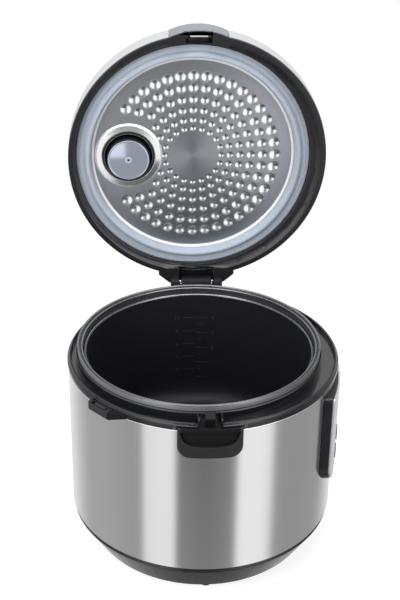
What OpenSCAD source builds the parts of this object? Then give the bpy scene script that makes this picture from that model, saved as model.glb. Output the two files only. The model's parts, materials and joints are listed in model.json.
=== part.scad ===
// Multicooker with its lid open: a round steel body on a black base, a lift-out pot, a hinged
// lid with a dimple-plate inside, and a control panel on the right side.
// Millimetres, +Z up. The origin is on the body's axis, on the surface that it stands on.
// The front, with the lid's catch, looks along -Y.

/* [Body] */
// Outer radius of the top ring
ring_r = 140; // [139.8:0.1:140.4]
// Radius of the brushed steel wall
steel_r = 139.2; // [138.9:0.1:139.3]
// Height of the steel wall's lower edge
steel_bottom_z = 41.7; // [40:0.1:43]
// Thickness of the steel sheet
steel_t = 0.8; // [0.6:0.1:1]
// Height of the top ring's lower edge
ring_low_z = 207.7; // [206.5:0.1:208]
// Height of the top ring's lip, where the lid rests
ring_top_z = 215.6; // [215:0.1:215.8]
// Radius of the base where it meets the feet
base_r = 117.3; // [116.5:0.1:118.5]
// Height of the rubber feet
foot_h = 3; // [2.5:0.5:4]

/* [Pot] */
// Sideways place of the pot's axis: the panel's side has the wider rim
pot_x = -4.3; // [-4.8:0.1:-3.8]
// Inner radius of the pot
pot_r = 115.6; // [114.5:0.1:115.8]
// Depth of the pot inside
pot_depth = 137; // [125:1:137]
// Height of the pot's rim
pot_rim_z = 220.9; // [220.5:0.1:221]
// Outer radius of the pot's flange
flange_r = 120; // [119.6:0.1:120.2]
// Thickness of the pot's wall
pot_wall = 1.8; // [1.5:0.1:2]
// Radius of the curve between the pot's wall and floor
pot_fillet = 26; // [20:1:30]
// Height of the metal collar round the pot
collar_top_z = 227.3; // [226.8:0.1:227.4]
// Outer radius of the metal collar
collar_r = 125.6; // [125.2:0.1:125.7]

/* [Lid] */
// Outer radius of the lid's silver band
lid_r = 140.5; // [140.2:0.1:141]
// Angle to which the lid is drawn open
lid_open = 90; // [0:1:90]
// Distance of the hinge behind the body's axis
hinge_y = 149.5; // [149:0.1:150]
// Height of the hinge
hinge_z = 215; // [214.6:0.1:215.4]
// Radius of the hinge pin
hinge_pin_r = 2.5; // [2:0.1:3]
// Height of the closed lid's upper edge
band_top_z = 247; // [246.5:0.5:250]
// Rise of the lid's domed top above that edge
dome_rise = 14; // [12:1:15]
// Outer radius of the silicone seal
seal_r = 127.4; // [127:0.1:127.5]
// Inner radius of the silicone seal
seal_in_r = 111.3; // [110.8:0.1:111.8]
// Distance of the steam valve to the left of the body's axis
valve_x = -75; // [-76:0.5:-74]
// Radius of the steam valve's well
well_r = 26; // [25.5:0.1:26.2]

/* [Control panel] */
// Width of the panel
panel_w = 152; // [146:1:154]
// Height of the panel's lower edge
panel_low_z = 93; // [91:1:95]
// Height of the panel's upper edge
panel_top_z = 200; // [199:1:202]
// Radius of the panel's gently curved face
face_r = 215; // [210:1:220]
// How far the middle of the face stands out from the body's axis
face_out = 141.8; // [141.6:0.1:142.4]
// Radius of the push-buttons
button_r = 8; // [7:0.5:8.5]
// Travel of the push-buttons
button_travel = 1; // [0.8:0.1:1]

/* [Hidden] */
$fn = 120;

// Colours of the pieces
black = [0.08, 0.08, 0.09];
dark_grey = [0.2, 0.2, 0.22];
steel = [0.75, 0.75, 0.76];
silver = [0.8, 0.81, 0.83];
aluminium = [0.68, 0.69, 0.71];
silicone = [0.72, 0.77, 0.83];
board_green = [0.1, 0.35, 0.2];

// Small gap between a piece and the one it is fitted to
fit = 0.15;
// Gap between pieces that move past each other
clear = 0.3;
// Length of a cut that goes right through
through = 400;
// Steps in which an arc of a profile is drawn
arc_steps = 8;

// Base
cover_t = 2;
cover_r = 102;
ledge_in_r = 92;
tub_floor_t = 2.5;
tub_wall = 3;
bowl_top_r = 138.2;
bowl_top_z = steel_bottom_z - 5.2;
groove_r = 136.4;
groove_low_z = bowl_top_z + 1;
groove_chamfer = 1;
bowl_slope = (bowl_top_r - base_r) / (bowl_top_z - foot_h);
base_chamfer = 1.2;
foot_ring_r = 109.5;
foot_r = 6.5;
foot_chamfer = 1;
foot_count = 4;
cover_screw_ring_r = 97;
cover_screw_count = 4;
screw_r = 1.5;
screw_head_r = 3.5;
screw_head_h = 1.8;
screw_hole_r = 1.8;
screw_pilot_r = 1.55;
screw_len = 8;
boss_r = 4;
boss_h = 6;
vent_r = 2.5;
vent_rings = [[40, 18], [58, 26]];
front_angle = -90;

// Steel wall
steel_top_z = ring_low_z + 3.3;
steel_lip_r = 134.5;
window_w = 104;
window_low_z = 101;
window_top_z = 191;

// Top ring: a skirt over the steel, a stepped lip, a trough and a raised inner wall
skirt_in_r = steel_r + fit;
skirt_top_z = ring_low_z + 5.3;
skirt_chamfer = 0.6;
lip_r = ring_r - 1.4;
lip_in_r = 137;
lip_chamfer = 1;
trough_r = 135.8;
trough_z = ring_low_z + 2.8;
ring_under_z = ring_low_z + 0.3;
ring_inner_r = 118;
steel_seat_r = 137.9;
collar_seat_r = collar_r + 0.4;
inner_wall_r = collar_seat_r + 0.9;
inner_wall_z = 220;
ring_bore_r = 122.8;
notch_w = 20.8;
notch_wall = 1.6;
notch_wall_z = 219.5;
notch_y = -139.2;
skirt_gap_angle = 14.2;
skirt_gap_w = 3.4;

// Finger scoop on the front, and the catch above it
scoop_w = 63;
scoop_low_z = 179;
scoop_top_z = 211.5;
scoop_corner = 12;
scoop_out_r = 143;
scoop_floor_r = 139.9;
scoop_hollow_half = [
    [0, 191.3], [9, 191.3], [16, 191.8], [21, 193], [24.4, 195.4], [26.6, 198.8],
    [28.4, 204], [29.3, 209]
];
catch_w = 9.8;
catch_back_y = -132.2;
catch_stem_y = -135.2;
catch_hook_y = -139;
catch_hook_z = 219.6;
catch_top_z = 225.2;
catch_ramp_y = -133.6;
catch_tip_h = 1.6;

// Holder for the spoon's bracket on the front left
spoon_angle = -47.2;
spoon_half = 14;
spoon_tail = 31;
spoon_out = 147.3;
spoon_corner = 3;
spoon_low_z = 204.3;
spoon_top_z = 212;
spoon_rise_x = 17;
spoon_rise = 3.5;
spoon_slot_w = 20;
spoon_slot_low_z = 208;
spoon_slot_in = 141.2;
spoon_slot_out = 145.6;
spoon_tongue = [-5.5, 8.5];
spoon_tongue_z = 210.6;
spoon_cheek_t = 3.2;
spoon_cheek_z = 215.2;
spoon_cheek_y = -141.8;

// Collar, pot and liner
collar_t = 0.9;
collar_in_r = 121;
collar_ledge_r = 118.4;
collar_ledge_z = 214;
collar_round = 1;
pot_floor_z = pot_rim_z - pot_depth;
pot_floor_t = 3;
pot_out_r = pot_r + pot_wall;
rim_flare = 4;
rim_bead = 1.2;
liner_r = 120.2;
liner_t = 0.8;
liner_floor_z = 56;
liner_flange_r = 124.5;
liner_hole_r = 24;

// Heater and its sensor
heater_r = 92;
heater_low_z = 68;
heater_top_z = pot_floor_z - pot_floor_t - clear;
heater_hole_r = 17;
heater_chamfer = 2;
heater_leg_ring_r = 82;
heater_leg_r = 6;
heater_leg_count = 3;
element_ring_r = 62;
element_r = 3.8;
element_z = heater_low_z - element_r - 0.05;
terminal_angle = 12;
terminal_r = 2;
terminal_low_z = 48;
terminal_hole_r = 5;
guide_r = 30;
guide_t = 2;
guide_sleeve_r = 7.5;
guide_sleeve_h = 7;
stem_r = 5;
stem_clear = 0.05;
stem_low_z = 50;
stem_foot_r = 7;
stem_foot_h = 1.5;
sensor_r = 14.5;
sensor_t = 4;
sensor_spring_r = 10;
sensor_wire_r = 0.6;
sensor_curls = 4;
sensor_pitch = 4.1;
fuse_r = 3;
fuse_len = 22;
fuse_place = [50, -25];

// Power board and mains inlet
board_w = 120;
board_d = 84;
board_t = 1.6;
board_z = 18;
standoff_r = 4;
standoff_x = board_w / 2 - 6;
standoff_y = board_d / 2 - 6;
relay_size = [28, 22, 16];
transformer_size = [34, 30, 24];
capacitor_r = 6;
capacitor_h = 20;
inlet_w = 32;
inlet_h = 24;
inlet_z = 67;
inlet_in_y = 122;
inlet_flange_w = 44;
inlet_flange_h = 36;
inlet_flange_y = 141.5;
inlet_corner = 6;
socket_w = 25;
socket_h = 17;
socket_in_y = 125;
inlet_pin_size = [2, 10, 5];
inlet_pin_step = 7;

// Control panel
face_x = face_out - face_r;
fascia_t = 2;
panel_wall = 3;
panel_corner_low = 24;
panel_corner_top = 5;
fascia_inset = 1;
display_w = 66;
display_low_z = 154;
display_top_z = 188;
display_corner = 4;
module_size = [13, 56, 30];
control_board_x = 122;
control_board_w = 92;
control_board_low_z = 102;
control_board_top_z = 190;
post_r = 3;
post_places = [[42, 185], [18.65, 124.5]];
button_angles = [-10, 0, 10];
button_rows = [136, 113];
button_proud = 0.8;
button_cap_h = 6;
button_flange_r = 9.6;
button_flange_h = 2.8;
button_stem_r = 2.5;
switch_size = [4, 6, 6];
switch_gap = button_travel + clear + button_stem_r * sin(max(button_angles));

// Hinge
bracket_w = 34;
knuckle_r = 9.5;
pin_fit = 0.02;
pin_run = 0.06;
hinge_pin_len = 58;
spring_slot_w = 16;
hinge_spring_r = 4.2;
hinge_wire_r = 0.6;
hinge_curls = 6;
hinge_pitch = 2;
bracket_low_z = 198;
bracket_top_z = 217.2;
bracket_foot_y = 142.6;
hinge_screw_x = 11;
hinge_screw_z = 202;
hinge_screw_r = 1.4;
hinge_screw_head_r = 3;
hinge_screw_head_y = 143.5;
hinge_screw_head_h = 2;
hinge_screw_in_y = 131;

// Lid, drawn closed and then turned open about the hinge
lid_low_z = ring_top_z + 0.7;
rim_r = lid_r - 0.2;
rim_top_z = lid_low_z + 3;
rim_face_r = 134.5;
frame_wall_r = 137;
frame_disc_z = 231;
frame_disc_t = 8;
frame_flange_t = 3;
frame_disc_in_r = 100;
frame_slope_r = 129;
frame_slope_z = 221.5;
seal_recess_r = seal_r + 0.4;
wall_recess_r = inner_wall_r + 2.4;
wall_recess_z = inner_wall_z + 0.7;
bracket_notch_w = bracket_w + 5;
bracket_notch_y = 130;
bracket_notch_z = 228;
block_w = 85;
block_side_y = 138;
block_end_w = 58;
block_top_z = 232;
band_in_r = lid_r - 2.4;
band_low_z = rim_top_z + 0.1;
band_round = 3.5;
band_lip_r = 133.5;
band_lip_t = 2;
dome_r = band_lip_r - 0.3;
dome_t = 2.5;
dome_edge_h = 5;
dome_arc_r = (dome_r * dome_r + dome_rise * dome_rise) / (2 * dome_rise);
dome_half_angle = asin(dome_r / dome_arc_r);
lid_screw_ring_r = 105;
lid_screw_count = 4;
lid_screw_r = 1.4;
lid_screw_head_r = 3;
lid_screw_head_h = 1.05;
lid_screw_len = 10;
lid_boss_top_z = band_top_z + 3.6;

// Inner plate, seal and steam valve
plate_low_z = 233.5;
lid_flange_z = frame_disc_z + frame_disc_t - frame_flange_t;
plate_t = 1;
plate_r = seal_in_r + 2;
seal_face_z = 227.9;
seal_lip_r = 119.4;
seal_lip_z = 222.5;
trim_in_r = well_r + 2.6;
trim_r = 37;
trim_h = 3.3;
well_wall = 2.2;
well_flange_r = 40;
well_collar_r = 33;
well_collar_z = 251;
well_top_z = 260.8;
cup_r = 23.4;
cup_wall = 1.8;
cup_low_z = 220.7;
cup_top_z = 250;
cup_hole_r = 1.2;
valve_disc_r = 22.4;
valve_disc_t = 1.5;
cap_plug_r = 25.2;
cap_flange_r = 32.5;
cap_flange_z = well_top_z + 0.8;
cap_top_z = cap_flange_z + 2.8;
cap_hollow_r = 20;
cap_slot_count = 6;
cap_slot_len = 9;
cap_slot_w = 3;
gasket_r = 31.5;
gasket_in_r = 26.5;
gasket_t = 0.5;

// Latch: a rocking silver nose whose steel bar hooks under the catch
nose_r = 72;
nose_front_y = -144;
nose_y = nose_front_y + nose_r;
nose_w = 62.4;
nose_t = 2.2;
nose_low_z = rim_top_z + 0.4;
nose_top_z = band_top_z - 2.6;
nose_back_y = -135.6;
nose_gap = 0.5;
bulge_inset = 0.2;
pivot_y = -134.5;
pivot_z = 236;
latch_pin_r = 1.2;
arm_in = 10.2;
arm_t = 3.4;
arm_back_y = -131.8;
arm_low_z = 233;
arm_top_z = 239;
pocket_w = 28;
pocket_front_y = -142.2;
pocket_back_y = -130.6;
notch_post_x = notch_w / 2 + notch_wall + nose_gap;
ear_in = 14.2;
ear_t = 2.6;
ear_front_y = -137;
ear_back_y = -131.5;
ear_top_z = 239.5;
bar_r = 1.1;
bar_w = 18.4;
bar_y = -138;
bar_z = 217.6;
bar_leg_t = 1.8;
bar_plate_z = 233.5;
bar_plate_t = 2;
bar_plate_back_y = -136.2;
seat_w = 10;
seat_front_y = -128;
seat_t = 3;
seat_top_z = 245;
latch_spring_z = 239.7;
latch_spring_r = 1.8;
latch_wire_r = 0.35;
latch_curls = 5;
latch_pitch = 2.4;
latch_slot_w = 5.6;

// Rings along a coil and round its wire
coil_rings = 8;
wire_sides = 6;

// Points on an arc round a centre
function arc(centre, radius, from, to) = [
    for (i = [0 : arc_steps])
        let (a = from + (to - from) * i / arc_steps)
        centre + radius * [cos(a), sin(a)]
];

// Outline of a plate, symmetric about zero, with its own radius at the lower and upper corners
function plate_outline(w, low, top, r_low, r_top) = concat(
    arc([w / 2 - r_low, low + r_low], r_low, -90, 0),
    arc([w / 2 - r_top, top - r_top], r_top, 0, 90),
    arc([-w / 2 + r_top, top - r_top], r_top, 90, 180),
    arc([-w / 2 + r_low, low + r_low], r_low, 180, 270)
);

// Places of a coil's rings, and the points round its wire
function coil_point(i, r, pitch) =
    let (a = 360 * i / coil_rings)
    [r * cos(a), r * sin(a), pitch * i / coil_rings];

function coil_ring(i, r, pitch, wire) =
    let (a = 360 * i / coil_rings)
    let (out = [cos(a), sin(a), 0])
    let (along = [-r * sin(a), r * cos(a), pitch / 360 * 180 / PI])
    let (side = cross(along / norm(along), out))
    [
        for (k = [0 : wire_sides - 1])
            let (b = 360 * k / wire_sides)
            coil_point(i, r, pitch) + wire * (cos(b) * out + sin(b) * side)
    ];

// One unbroken helical tube along +Z, with its least gap to itself printed
module coil(name, r, wire, curls, pitch) {
    last = curls * coil_rings;
    rings = [for (i = [0 : last]) coil_ring(i, r, pitch, wire)];
    points = [for (ring = rings) each ring];
    sides = [
        for (i = [0 : last - 1])
            for (k = [0 : wire_sides - 1])
                let (a = i * wire_sides + k)
                let (b = i * wire_sides + (k + 1) % wire_sides)
                each [[a, b, b + wire_sides], [a, b + wire_sides, a + wire_sides]]
    ];
    ends = [
        for (k = [1 : wire_sides - 2])
            each [[0, k + 1, k], [last * wire_sides, last * wire_sides + k, last * wire_sides + k + 1]]
    ];
    gap = min([
        for (i = [0 : last - coil_rings + 1])
            for (j = [i + coil_rings - 1 : min(i + coil_rings + 1, last)])
                for (p = rings[i])
                    for (q = rings[j])
                        norm(p - q)
    ]);
    echo(str(name, " least gap between turns: ", gap, " mm"));
    polyhedron(points, concat(sides, ends));
}

// Copies of a piece on a ring round the body's axis
module around(count, radius, start) {
    for (i = [0 : count - 1])
        rotate([0, 0, start + 360 * i / count])
            translate([radius, 0, 0])
                children();
}

// A rod along X, centred on the body's middle plane
module rod(y, z, r, len) {
    translate([-len / 2, y, z])
        rotate([0, 90, 0])
            cylinder(r = r, h = len);
}

// A block between two corners
module block(low, high) {
    translate(low)
        cube(high - low);
}

// A block and its mirror image on the other side of the middle plane
module block_pair(low, high) {
    block(low, high);
    mirror([1, 0, 0])
        block(low, high);
}

module at_pot() {
    translate([pot_x, 0, 0])
        children();
}

module at_valve() {
    translate([valve_x, 0, 0])
        children();
}

// Turns a piece of the closed lid to where the open lid holds it
module opened() {
    translate([0, hinge_y, hinge_z])
        rotate([-lid_open, 0, 0])
            translate([0, -hinge_y, -hinge_z])
                children();
}

module tube(r_out, r_in, low, top) {
    translate([0, 0, low])
        difference() {
            cylinder(r = r_out, h = top - low);
            translate([0, 0, -1])
                cylinder(r = r_in, h = top - low + 2);
        }
}

module disc(r, low, top) {
    translate([0, 0, low])
        cylinder(r = r, h = top - low);
}

module rubber_feet() color(dark_grey) {
    around(foot_count, foot_ring_r, front_angle)
        rotate_extrude()
            polygon([
                [0, 0], [foot_r - foot_chamfer, 0], [foot_r, foot_chamfer], [foot_r, foot_h], [0, foot_h]
            ]);
}

module bottom_cover() color(black) {
    difference() {
        union() {
            disc(cover_r, foot_h, foot_h + cover_t);
            for (sx = [-1, 1])
                for (sy = [-1, 1])
                    translate([sx * standoff_x, sy * standoff_y, foot_h + cover_t])
                        cylinder(r = standoff_r, h = board_z - foot_h - cover_t);
        }
        around(cover_screw_count, cover_screw_ring_r, 45)
            cylinder(r = screw_hole_r, h = through);
        for (ring = vent_rings)
            around(ring[1], ring[0], 0)
                cylinder(r = vent_r, h = foot_h + cover_t + 1);
    }
}

module bottom_screws() color(steel) {
    around(cover_screw_count, cover_screw_ring_r, 45) {
        disc(screw_head_r, foot_h - screw_head_h, foot_h);
        disc(screw_r, foot_h, foot_h + screw_len);
    }
}

module base_tub() color(black) {
    ledge_z = foot_h + cover_t;
    floor_z = ledge_z + tub_floor_t;
    edge_r = base_r + base_chamfer * bowl_slope;
    inner_low_r = base_r + (floor_z - foot_h) * bowl_slope - tub_wall;
    difference() {
        union() {
            rotate_extrude()
                polygon(concat(
                    [[ledge_in_r, ledge_z], [cover_r + fit, ledge_z], [cover_r + fit, foot_h]],
                    [[edge_r - base_chamfer, foot_h], [edge_r, foot_h + base_chamfer]],
                    [[bowl_top_r, bowl_top_z], [bowl_top_r, groove_low_z]],
                    [[groove_r, groove_low_z + groove_chamfer], [groove_r, steel_bottom_z]],
                    [[groove_r - tub_wall, steel_bottom_z], [bowl_top_r - 2 * tub_wall, bowl_top_z]],
                    [[inner_low_r, floor_z], [ledge_in_r, floor_z]]
                ));
            around(cover_screw_count, cover_screw_ring_r, 45)
                disc(boss_r, ledge_z, floor_z + boss_h);
        }
        around(cover_screw_count, cover_screw_ring_r, 45)
            disc(screw_pilot_r, 0, foot_h + screw_len + 1);
    }
}

module steel_shell() color(steel) {
    difference() {
        rotate_extrude()
            polygon([
                [steel_lip_r, steel_bottom_z], [steel_r, steel_bottom_z], [steel_r, steel_top_z],
                [steel_r - steel_t, steel_top_z], [steel_r - steel_t, steel_bottom_z + steel_t],
                [steel_lip_r, steel_bottom_z + steel_t]
            ]);
        block([0, -window_w / 2, window_low_z], [ring_r + 1, window_w / 2, window_top_z]);
        block(
            [-inlet_w / 2 - fit, 0, inlet_z - inlet_h / 2 - fit],
            [inlet_w / 2 + fit, ring_r + 1, inlet_z + inlet_h / 2 + fit]
        );
        hinge_screw_bores(hinge_screw_r + fit);
    }
}

module hinge_screw_bores(r) {
    for (side = [-1, 1])
        translate([side * hinge_screw_x, hinge_screw_in_y - 1, hinge_screw_z])
            rotate([-90, 0, 0])
                cylinder(r = r, h = hinge_screw_head_y - hinge_screw_in_y + 2);
}

module top_ring() color(black) {
    difference() {
        union() {
            difference() {
                rotate_extrude()
                    polygon([
                        [ring_inner_r, ring_under_z], [steel_seat_r, ring_under_z],
                        [steel_seat_r, steel_top_z + fit], [skirt_in_r, steel_top_z + fit],
                        [skirt_in_r, ring_low_z], [ring_r, ring_low_z],
                        [ring_r, skirt_top_z - skirt_chamfer], [ring_r - skirt_chamfer, skirt_top_z],
                        [lip_r, skirt_top_z], [lip_r, ring_top_z - lip_chamfer],
                        [lip_r - lip_chamfer, ring_top_z], [lip_in_r, ring_top_z],
                        [lip_in_r - lip_chamfer, ring_top_z - lip_chamfer],
                        [trough_r, trough_z], [ring_inner_r, trough_z]
                    ]);
                at_pot()
                    disc(collar_seat_r, trough_z, through);
                at_pot()
                    disc(ring_bore_r, 0, through);
            }
            at_pot()
                tube(inner_wall_r, collar_seat_r, ring_under_z, inner_wall_z);
        }
        block([-notch_w / 2, -ring_r - 1, trough_z], [notch_w / 2, -collar_seat_r - 1, through]);
        for (side = [-1, 1])
            rotate([0, 0, side * skirt_gap_angle])
                block(
                    [-skirt_gap_w / 2, -ring_r - 1, ring_low_z - 1],
                    [skirt_gap_w / 2, -ring_r + 0.4, skirt_top_z + 1]
                );
    }
    block_pair(
        [notch_w / 2, notch_y, trough_z - 0.5],
        [notch_w / 2 + notch_wall, -inner_wall_r + 1, notch_wall_z]
    );
}

module front_scoop() color(dark_grey) {
    difference() {
        intersection() {
            rotate([90, 0, 0])
                linear_extrude(through)
                    polygon(plate_outline(scoop_w, scoop_low_z, scoop_top_z, scoop_corner, 1));
            tube(scoop_out_r, skirt_in_r, scoop_low_z - 1, scoop_top_z + 1);
        }
        tube(ring_r + fit, ring_r - 10, ring_low_z - clear, scoop_top_z + 2);
        intersection() {
            rotate([90, 0, 0])
                linear_extrude(through)
                    polygon(concat(
                        scoop_hollow_half,
                        [for (i = [len(scoop_hollow_half) - 1 : -1 : 1])
                            [-scoop_hollow_half[i][0], scoop_hollow_half[i][1]]]
                    ));
            tube(scoop_out_r + 1, scoop_floor_r, scoop_low_z, ring_low_z - clear - 0.5);
        }
    }
}

module lid_catch() color(dark_grey) {
    rotate([90, 0, 90])
        linear_extrude(catch_w, center = true)
            polygon([
                [catch_back_y, trough_z], [catch_back_y, catch_top_z], [catch_ramp_y, catch_top_z],
                [catch_hook_y, catch_hook_z + catch_tip_h], [catch_hook_y, catch_hook_z],
                [catch_stem_y, catch_hook_z], [catch_stem_y, trough_z]
            ]);
}

module spoon_bracket() color(black) {
    rotate([0, 0, spoon_angle]) {
        difference() {
            translate([0, 0, spoon_low_z])
                linear_extrude(spoon_top_z - spoon_low_z)
                    polygon(concat(
                        [[spoon_tail, -ring_r + 6]],
                        [[-spoon_half - 1, -ring_r + 6]],
                        arc([spoon_corner - spoon_half, spoon_corner - spoon_out], spoon_corner, 180, 270),
                        arc([spoon_half, 2 * spoon_corner - spoon_out], 2 * spoon_corner, 270, 310),
                        [[spoon_tail, -ring_r + 3]]
                    ));
            disc(ring_r + fit, 0, through);
            rotate([90, 0, 0])
                linear_extrude(through)
                    polygon([
                        [spoon_rise_x, spoon_low_z], [spoon_tail + 1, spoon_low_z + spoon_rise],
                        [spoon_tail + 1, spoon_low_z - 1], [spoon_rise_x, spoon_low_z - 1]
                    ]);
            block(
                [-spoon_slot_w / 2, -spoon_slot_out, spoon_slot_low_z],
                [spoon_slot_w / 2, -spoon_slot_in, spoon_top_z + 1]
            );
        }
        block(
            [spoon_tongue[0], 0.6 - spoon_slot_out, spoon_slot_low_z - 0.5],
            [spoon_tongue[1], -spoon_slot_in + 0.5, spoon_tongue_z]
        );
        translate([-spoon_half, 0, 0])
            rotate([90, 0, 90])
                linear_extrude(spoon_cheek_t)
                    polygon([
                        [-ring_r - clear, spoon_low_z + 1], [spoon_corner - spoon_out, spoon_low_z + 1],
                        [spoon_corner - spoon_out, spoon_top_z], [spoon_cheek_y, spoon_cheek_z],
                        [-ring_r - clear, spoon_cheek_z]
                    ]);
    }
}

module collar_ring() color(steel) {
    outer_wall = collar_r - collar_t;
    inner_wall = collar_in_r + collar_t;
    under_top = collar_top_z - collar_t;
    at_pot()
        rotate_extrude()
            polygon([
                [collar_r, trough_z], [collar_r, collar_top_z - collar_round],
                [collar_r - collar_round, collar_top_z], [collar_in_r + collar_round, collar_top_z],
                [collar_in_r, collar_top_z - collar_round], [collar_in_r, collar_ledge_z],
                [collar_ledge_r, collar_ledge_z], [collar_ledge_r, collar_ledge_z - collar_t],
                [inner_wall, collar_ledge_z - collar_t], [inner_wall, under_top],
                [outer_wall, under_top], [outer_wall, trough_z]
            ]);
}

module inner_pot() color(dark_grey) {
    floor_low_z = pot_floor_z - pot_floor_t;
    outer_fillet = pot_fillet + pot_wall;
    at_pot()
        rotate_extrude()
            polygon(concat(
                [[0, floor_low_z]],
                arc([pot_out_r - outer_fillet, floor_low_z + outer_fillet], outer_fillet, -90, 0),
                [[pot_out_r, pot_rim_z - rim_flare - 1], [flange_r - 0.6, pot_rim_z - 2 * rim_bead]],
                [[flange_r, pot_rim_z - rim_bead], [flange_r - 0.4, pot_rim_z - 0.3]],
                [[flange_r - rim_bead, pot_rim_z], [pot_r + 2 * rim_bead, pot_rim_z - 0.2]],
                [[pot_r + 0.7, pot_rim_z - rim_bead], [pot_r, pot_rim_z - rim_flare]],
                arc([pot_r - pot_fillet, pot_floor_z + pot_fillet], pot_fillet, 0, -90),
                [[0, pot_floor_z]]
            ));
}

module inner_liner() color(aluminium) {
    at_pot()
        difference() {
            rotate_extrude()
                polygon([
                    [liner_hole_r, liner_floor_z], [liner_r, liner_floor_z],
                    [liner_r, ring_under_z - liner_t], [liner_flange_r, ring_under_z - liner_t],
                    [liner_flange_r, ring_under_z], [liner_r - liner_t, ring_under_z],
                    [liner_r - liner_t, liner_floor_z + liner_t], [liner_hole_r, liner_floor_z + liner_t]
                ]);
            terminals()
                cylinder(r = terminal_hole_r, h = through, center = true);
        }
}

module terminals() {
    for (side = [-1, 1])
        rotate([0, 0, side * terminal_angle])
            translate([element_ring_r, 0, 0])
                children();
}

module heater_plate() color(aluminium) {
    at_pot() {
        rotate_extrude()
            polygon([
                [heater_hole_r, heater_low_z], [heater_r, heater_low_z],
                [heater_r, heater_top_z - heater_chamfer], [heater_r - heater_chamfer, heater_top_z],
                [heater_hole_r, heater_top_z]
            ]);
        around(heater_leg_count, heater_leg_ring_r, front_angle)
            disc(heater_leg_r, liner_floor_z + liner_t, heater_low_z + 1);
    }
}

module heating_element() color(steel) {
    at_pot() {
        translate([0, 0, element_z])
            rotate_extrude()
                translate([element_ring_r, 0])
                    circle(r = element_r, $fn = 32);
        terminals()
            disc(terminal_r, terminal_low_z, element_z);
    }
}

module sensor_guide() color(dark_grey) {
    guide_z = liner_floor_z + liner_t;
    at_pot()
        difference() {
            union() {
                disc(guide_r, guide_z, guide_z + guide_t);
                disc(guide_sleeve_r, guide_z, guide_z + guide_sleeve_h);
            }
            disc(stem_r + stem_clear, 0, through);
        }
}

module sensor_cap() color(aluminium) {
    at_pot() {
        disc(sensor_r, heater_top_z - sensor_t, heater_top_z);
        disc(stem_r, stem_low_z, heater_top_z - sensor_t + 1);
        disc(stem_foot_r, stem_low_z, stem_low_z + stem_foot_h);
    }
}

module sensor_spring() color(steel) {
    at_pot()
        translate([0, 0, liner_floor_z + liner_t + guide_t + sensor_wire_r])
            coil("sensor_spring", sensor_spring_r, sensor_wire_r, sensor_curls, sensor_pitch);
}

module thermal_fuse() color(silver) {
    translate([fuse_place[0] - fuse_len / 2, fuse_place[1], liner_floor_z - fuse_r - 0.05])
        rotate([0, 90, 0])
            cylinder(r = fuse_r, h = fuse_len);
}

module power_board() color(board_green) {
    block([-board_w / 2, -board_d / 2, board_z], [board_w / 2, board_d / 2, board_z + board_t]);
}

module board_parts() color(dark_grey) {
    top_z = board_z + board_t;
    translate([-board_w / 2 + 10, -board_d / 2 + 8, top_z])
        cube(relay_size);
    translate([board_w / 2 - 46, -board_d / 2 + 8, top_z])
        cube(transformer_size);
    for (x = [-30, -10, 10])
        translate([x, board_d / 2 - 16, top_z])
            cylinder(r = capacitor_r, h = capacitor_h);
}

module power_inlet() color(black) {
    difference() {
        union() {
            block(
                [-inlet_w / 2, inlet_in_y, inlet_z - inlet_h / 2],
                [inlet_w / 2, inlet_flange_y, inlet_z + inlet_h / 2]
            );
            difference() {
                translate([0, inlet_flange_y, inlet_z])
                    rotate([90, 0, 0])
                        linear_extrude(inlet_flange_y - inlet_in_y)
                            polygon(plate_outline(
                                inlet_flange_w, -inlet_flange_h / 2, inlet_flange_h / 2,
                                inlet_corner, inlet_corner
                            ));
                disc(steel_r + fit, 0, through);
            }
        }
        block(
            [-socket_w / 2, socket_in_y, inlet_z - socket_h / 2],
            [socket_w / 2, inlet_flange_y + 1, inlet_z + socket_h / 2]
        );
    }
}

module inlet_pins() color(steel) {
    for (i = [-1 : 1])
        translate([
            i * inlet_pin_step - inlet_pin_size[0] / 2, socket_in_y, inlet_z - inlet_pin_size[2] / 2
        ])
            cube(inlet_pin_size);
}

// The panel's outline, drawn in from its edge by inset and pushed through along X
module panel_prism(inset) {
    rotate([90, 0, 90])
        linear_extrude(through)
            polygon(plate_outline(
                panel_w - 2 * inset, panel_low_z + inset, panel_top_z - inset,
                panel_corner_low - inset, max(panel_corner_top - inset, 1)
            ));
}

module face_cylinder(r) {
    translate([face_x, 0, 0])
        cylinder(r = r, h = through);
}

// Puts a piece on the panel's face: its +Z points straight out of the face
module on_face(angle, z) {
    translate([face_x, 0, z])
        rotate([0, 0, angle])
            rotate([0, 90, 0])
                children();
}

module each_button() {
    for (z = button_rows)
        for (angle = button_angles)
            on_face(angle, z)
                children();
}

module display_prism(gap) {
    rotate([90, 0, 90])
        linear_extrude(through)
            polygon(plate_outline(
                display_w + 2 * gap, display_low_z - gap, display_top_z + gap,
                display_corner, display_corner
            ));
}

module control_housing() color(black) {
    difference() {
        intersection() {
            panel_prism(0);
            face_cylinder(face_r - fascia_t);
        }
        disc(steel_r + fit, 0, through);
        panel_prism(panel_wall);
    }
}

module control_fascia() color(silver) {
    difference() {
        intersection() {
            panel_prism(fascia_inset);
            face_cylinder(face_r);
        }
        face_cylinder(face_r - fascia_t);
        display_prism(fit);
        each_button()
            cylinder(r = button_r + clear, h = through);
    }
    intersection() {
        for (place = post_places)
            for (side = [-1, 1])
                translate([control_board_x + board_t, side * place[0], place[1]])
                    rotate([0, 90, 0])
                        cylinder(r = post_r, h = through);
        face_cylinder(face_r - fascia_t / 2);
    }
}

module display_window() color([0.03, 0.04, 0.05]) {
    intersection() {
        difference() {
            display_prism(0);
            face_cylinder(face_r - fascia_t);
        }
        face_cylinder(face_r);
    }
}

module display_module() color(dark_grey) {
    translate([
        control_board_x + board_t, -module_size[1] / 2, (display_low_z + display_top_z - module_size[2]) / 2
    ])
        cube(module_size);
}

module control_board() color(board_green) {
    block(
        [control_board_x, -control_board_w / 2, control_board_low_z],
        [control_board_x + board_t, control_board_w / 2, control_board_top_z]
    );
}

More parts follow.
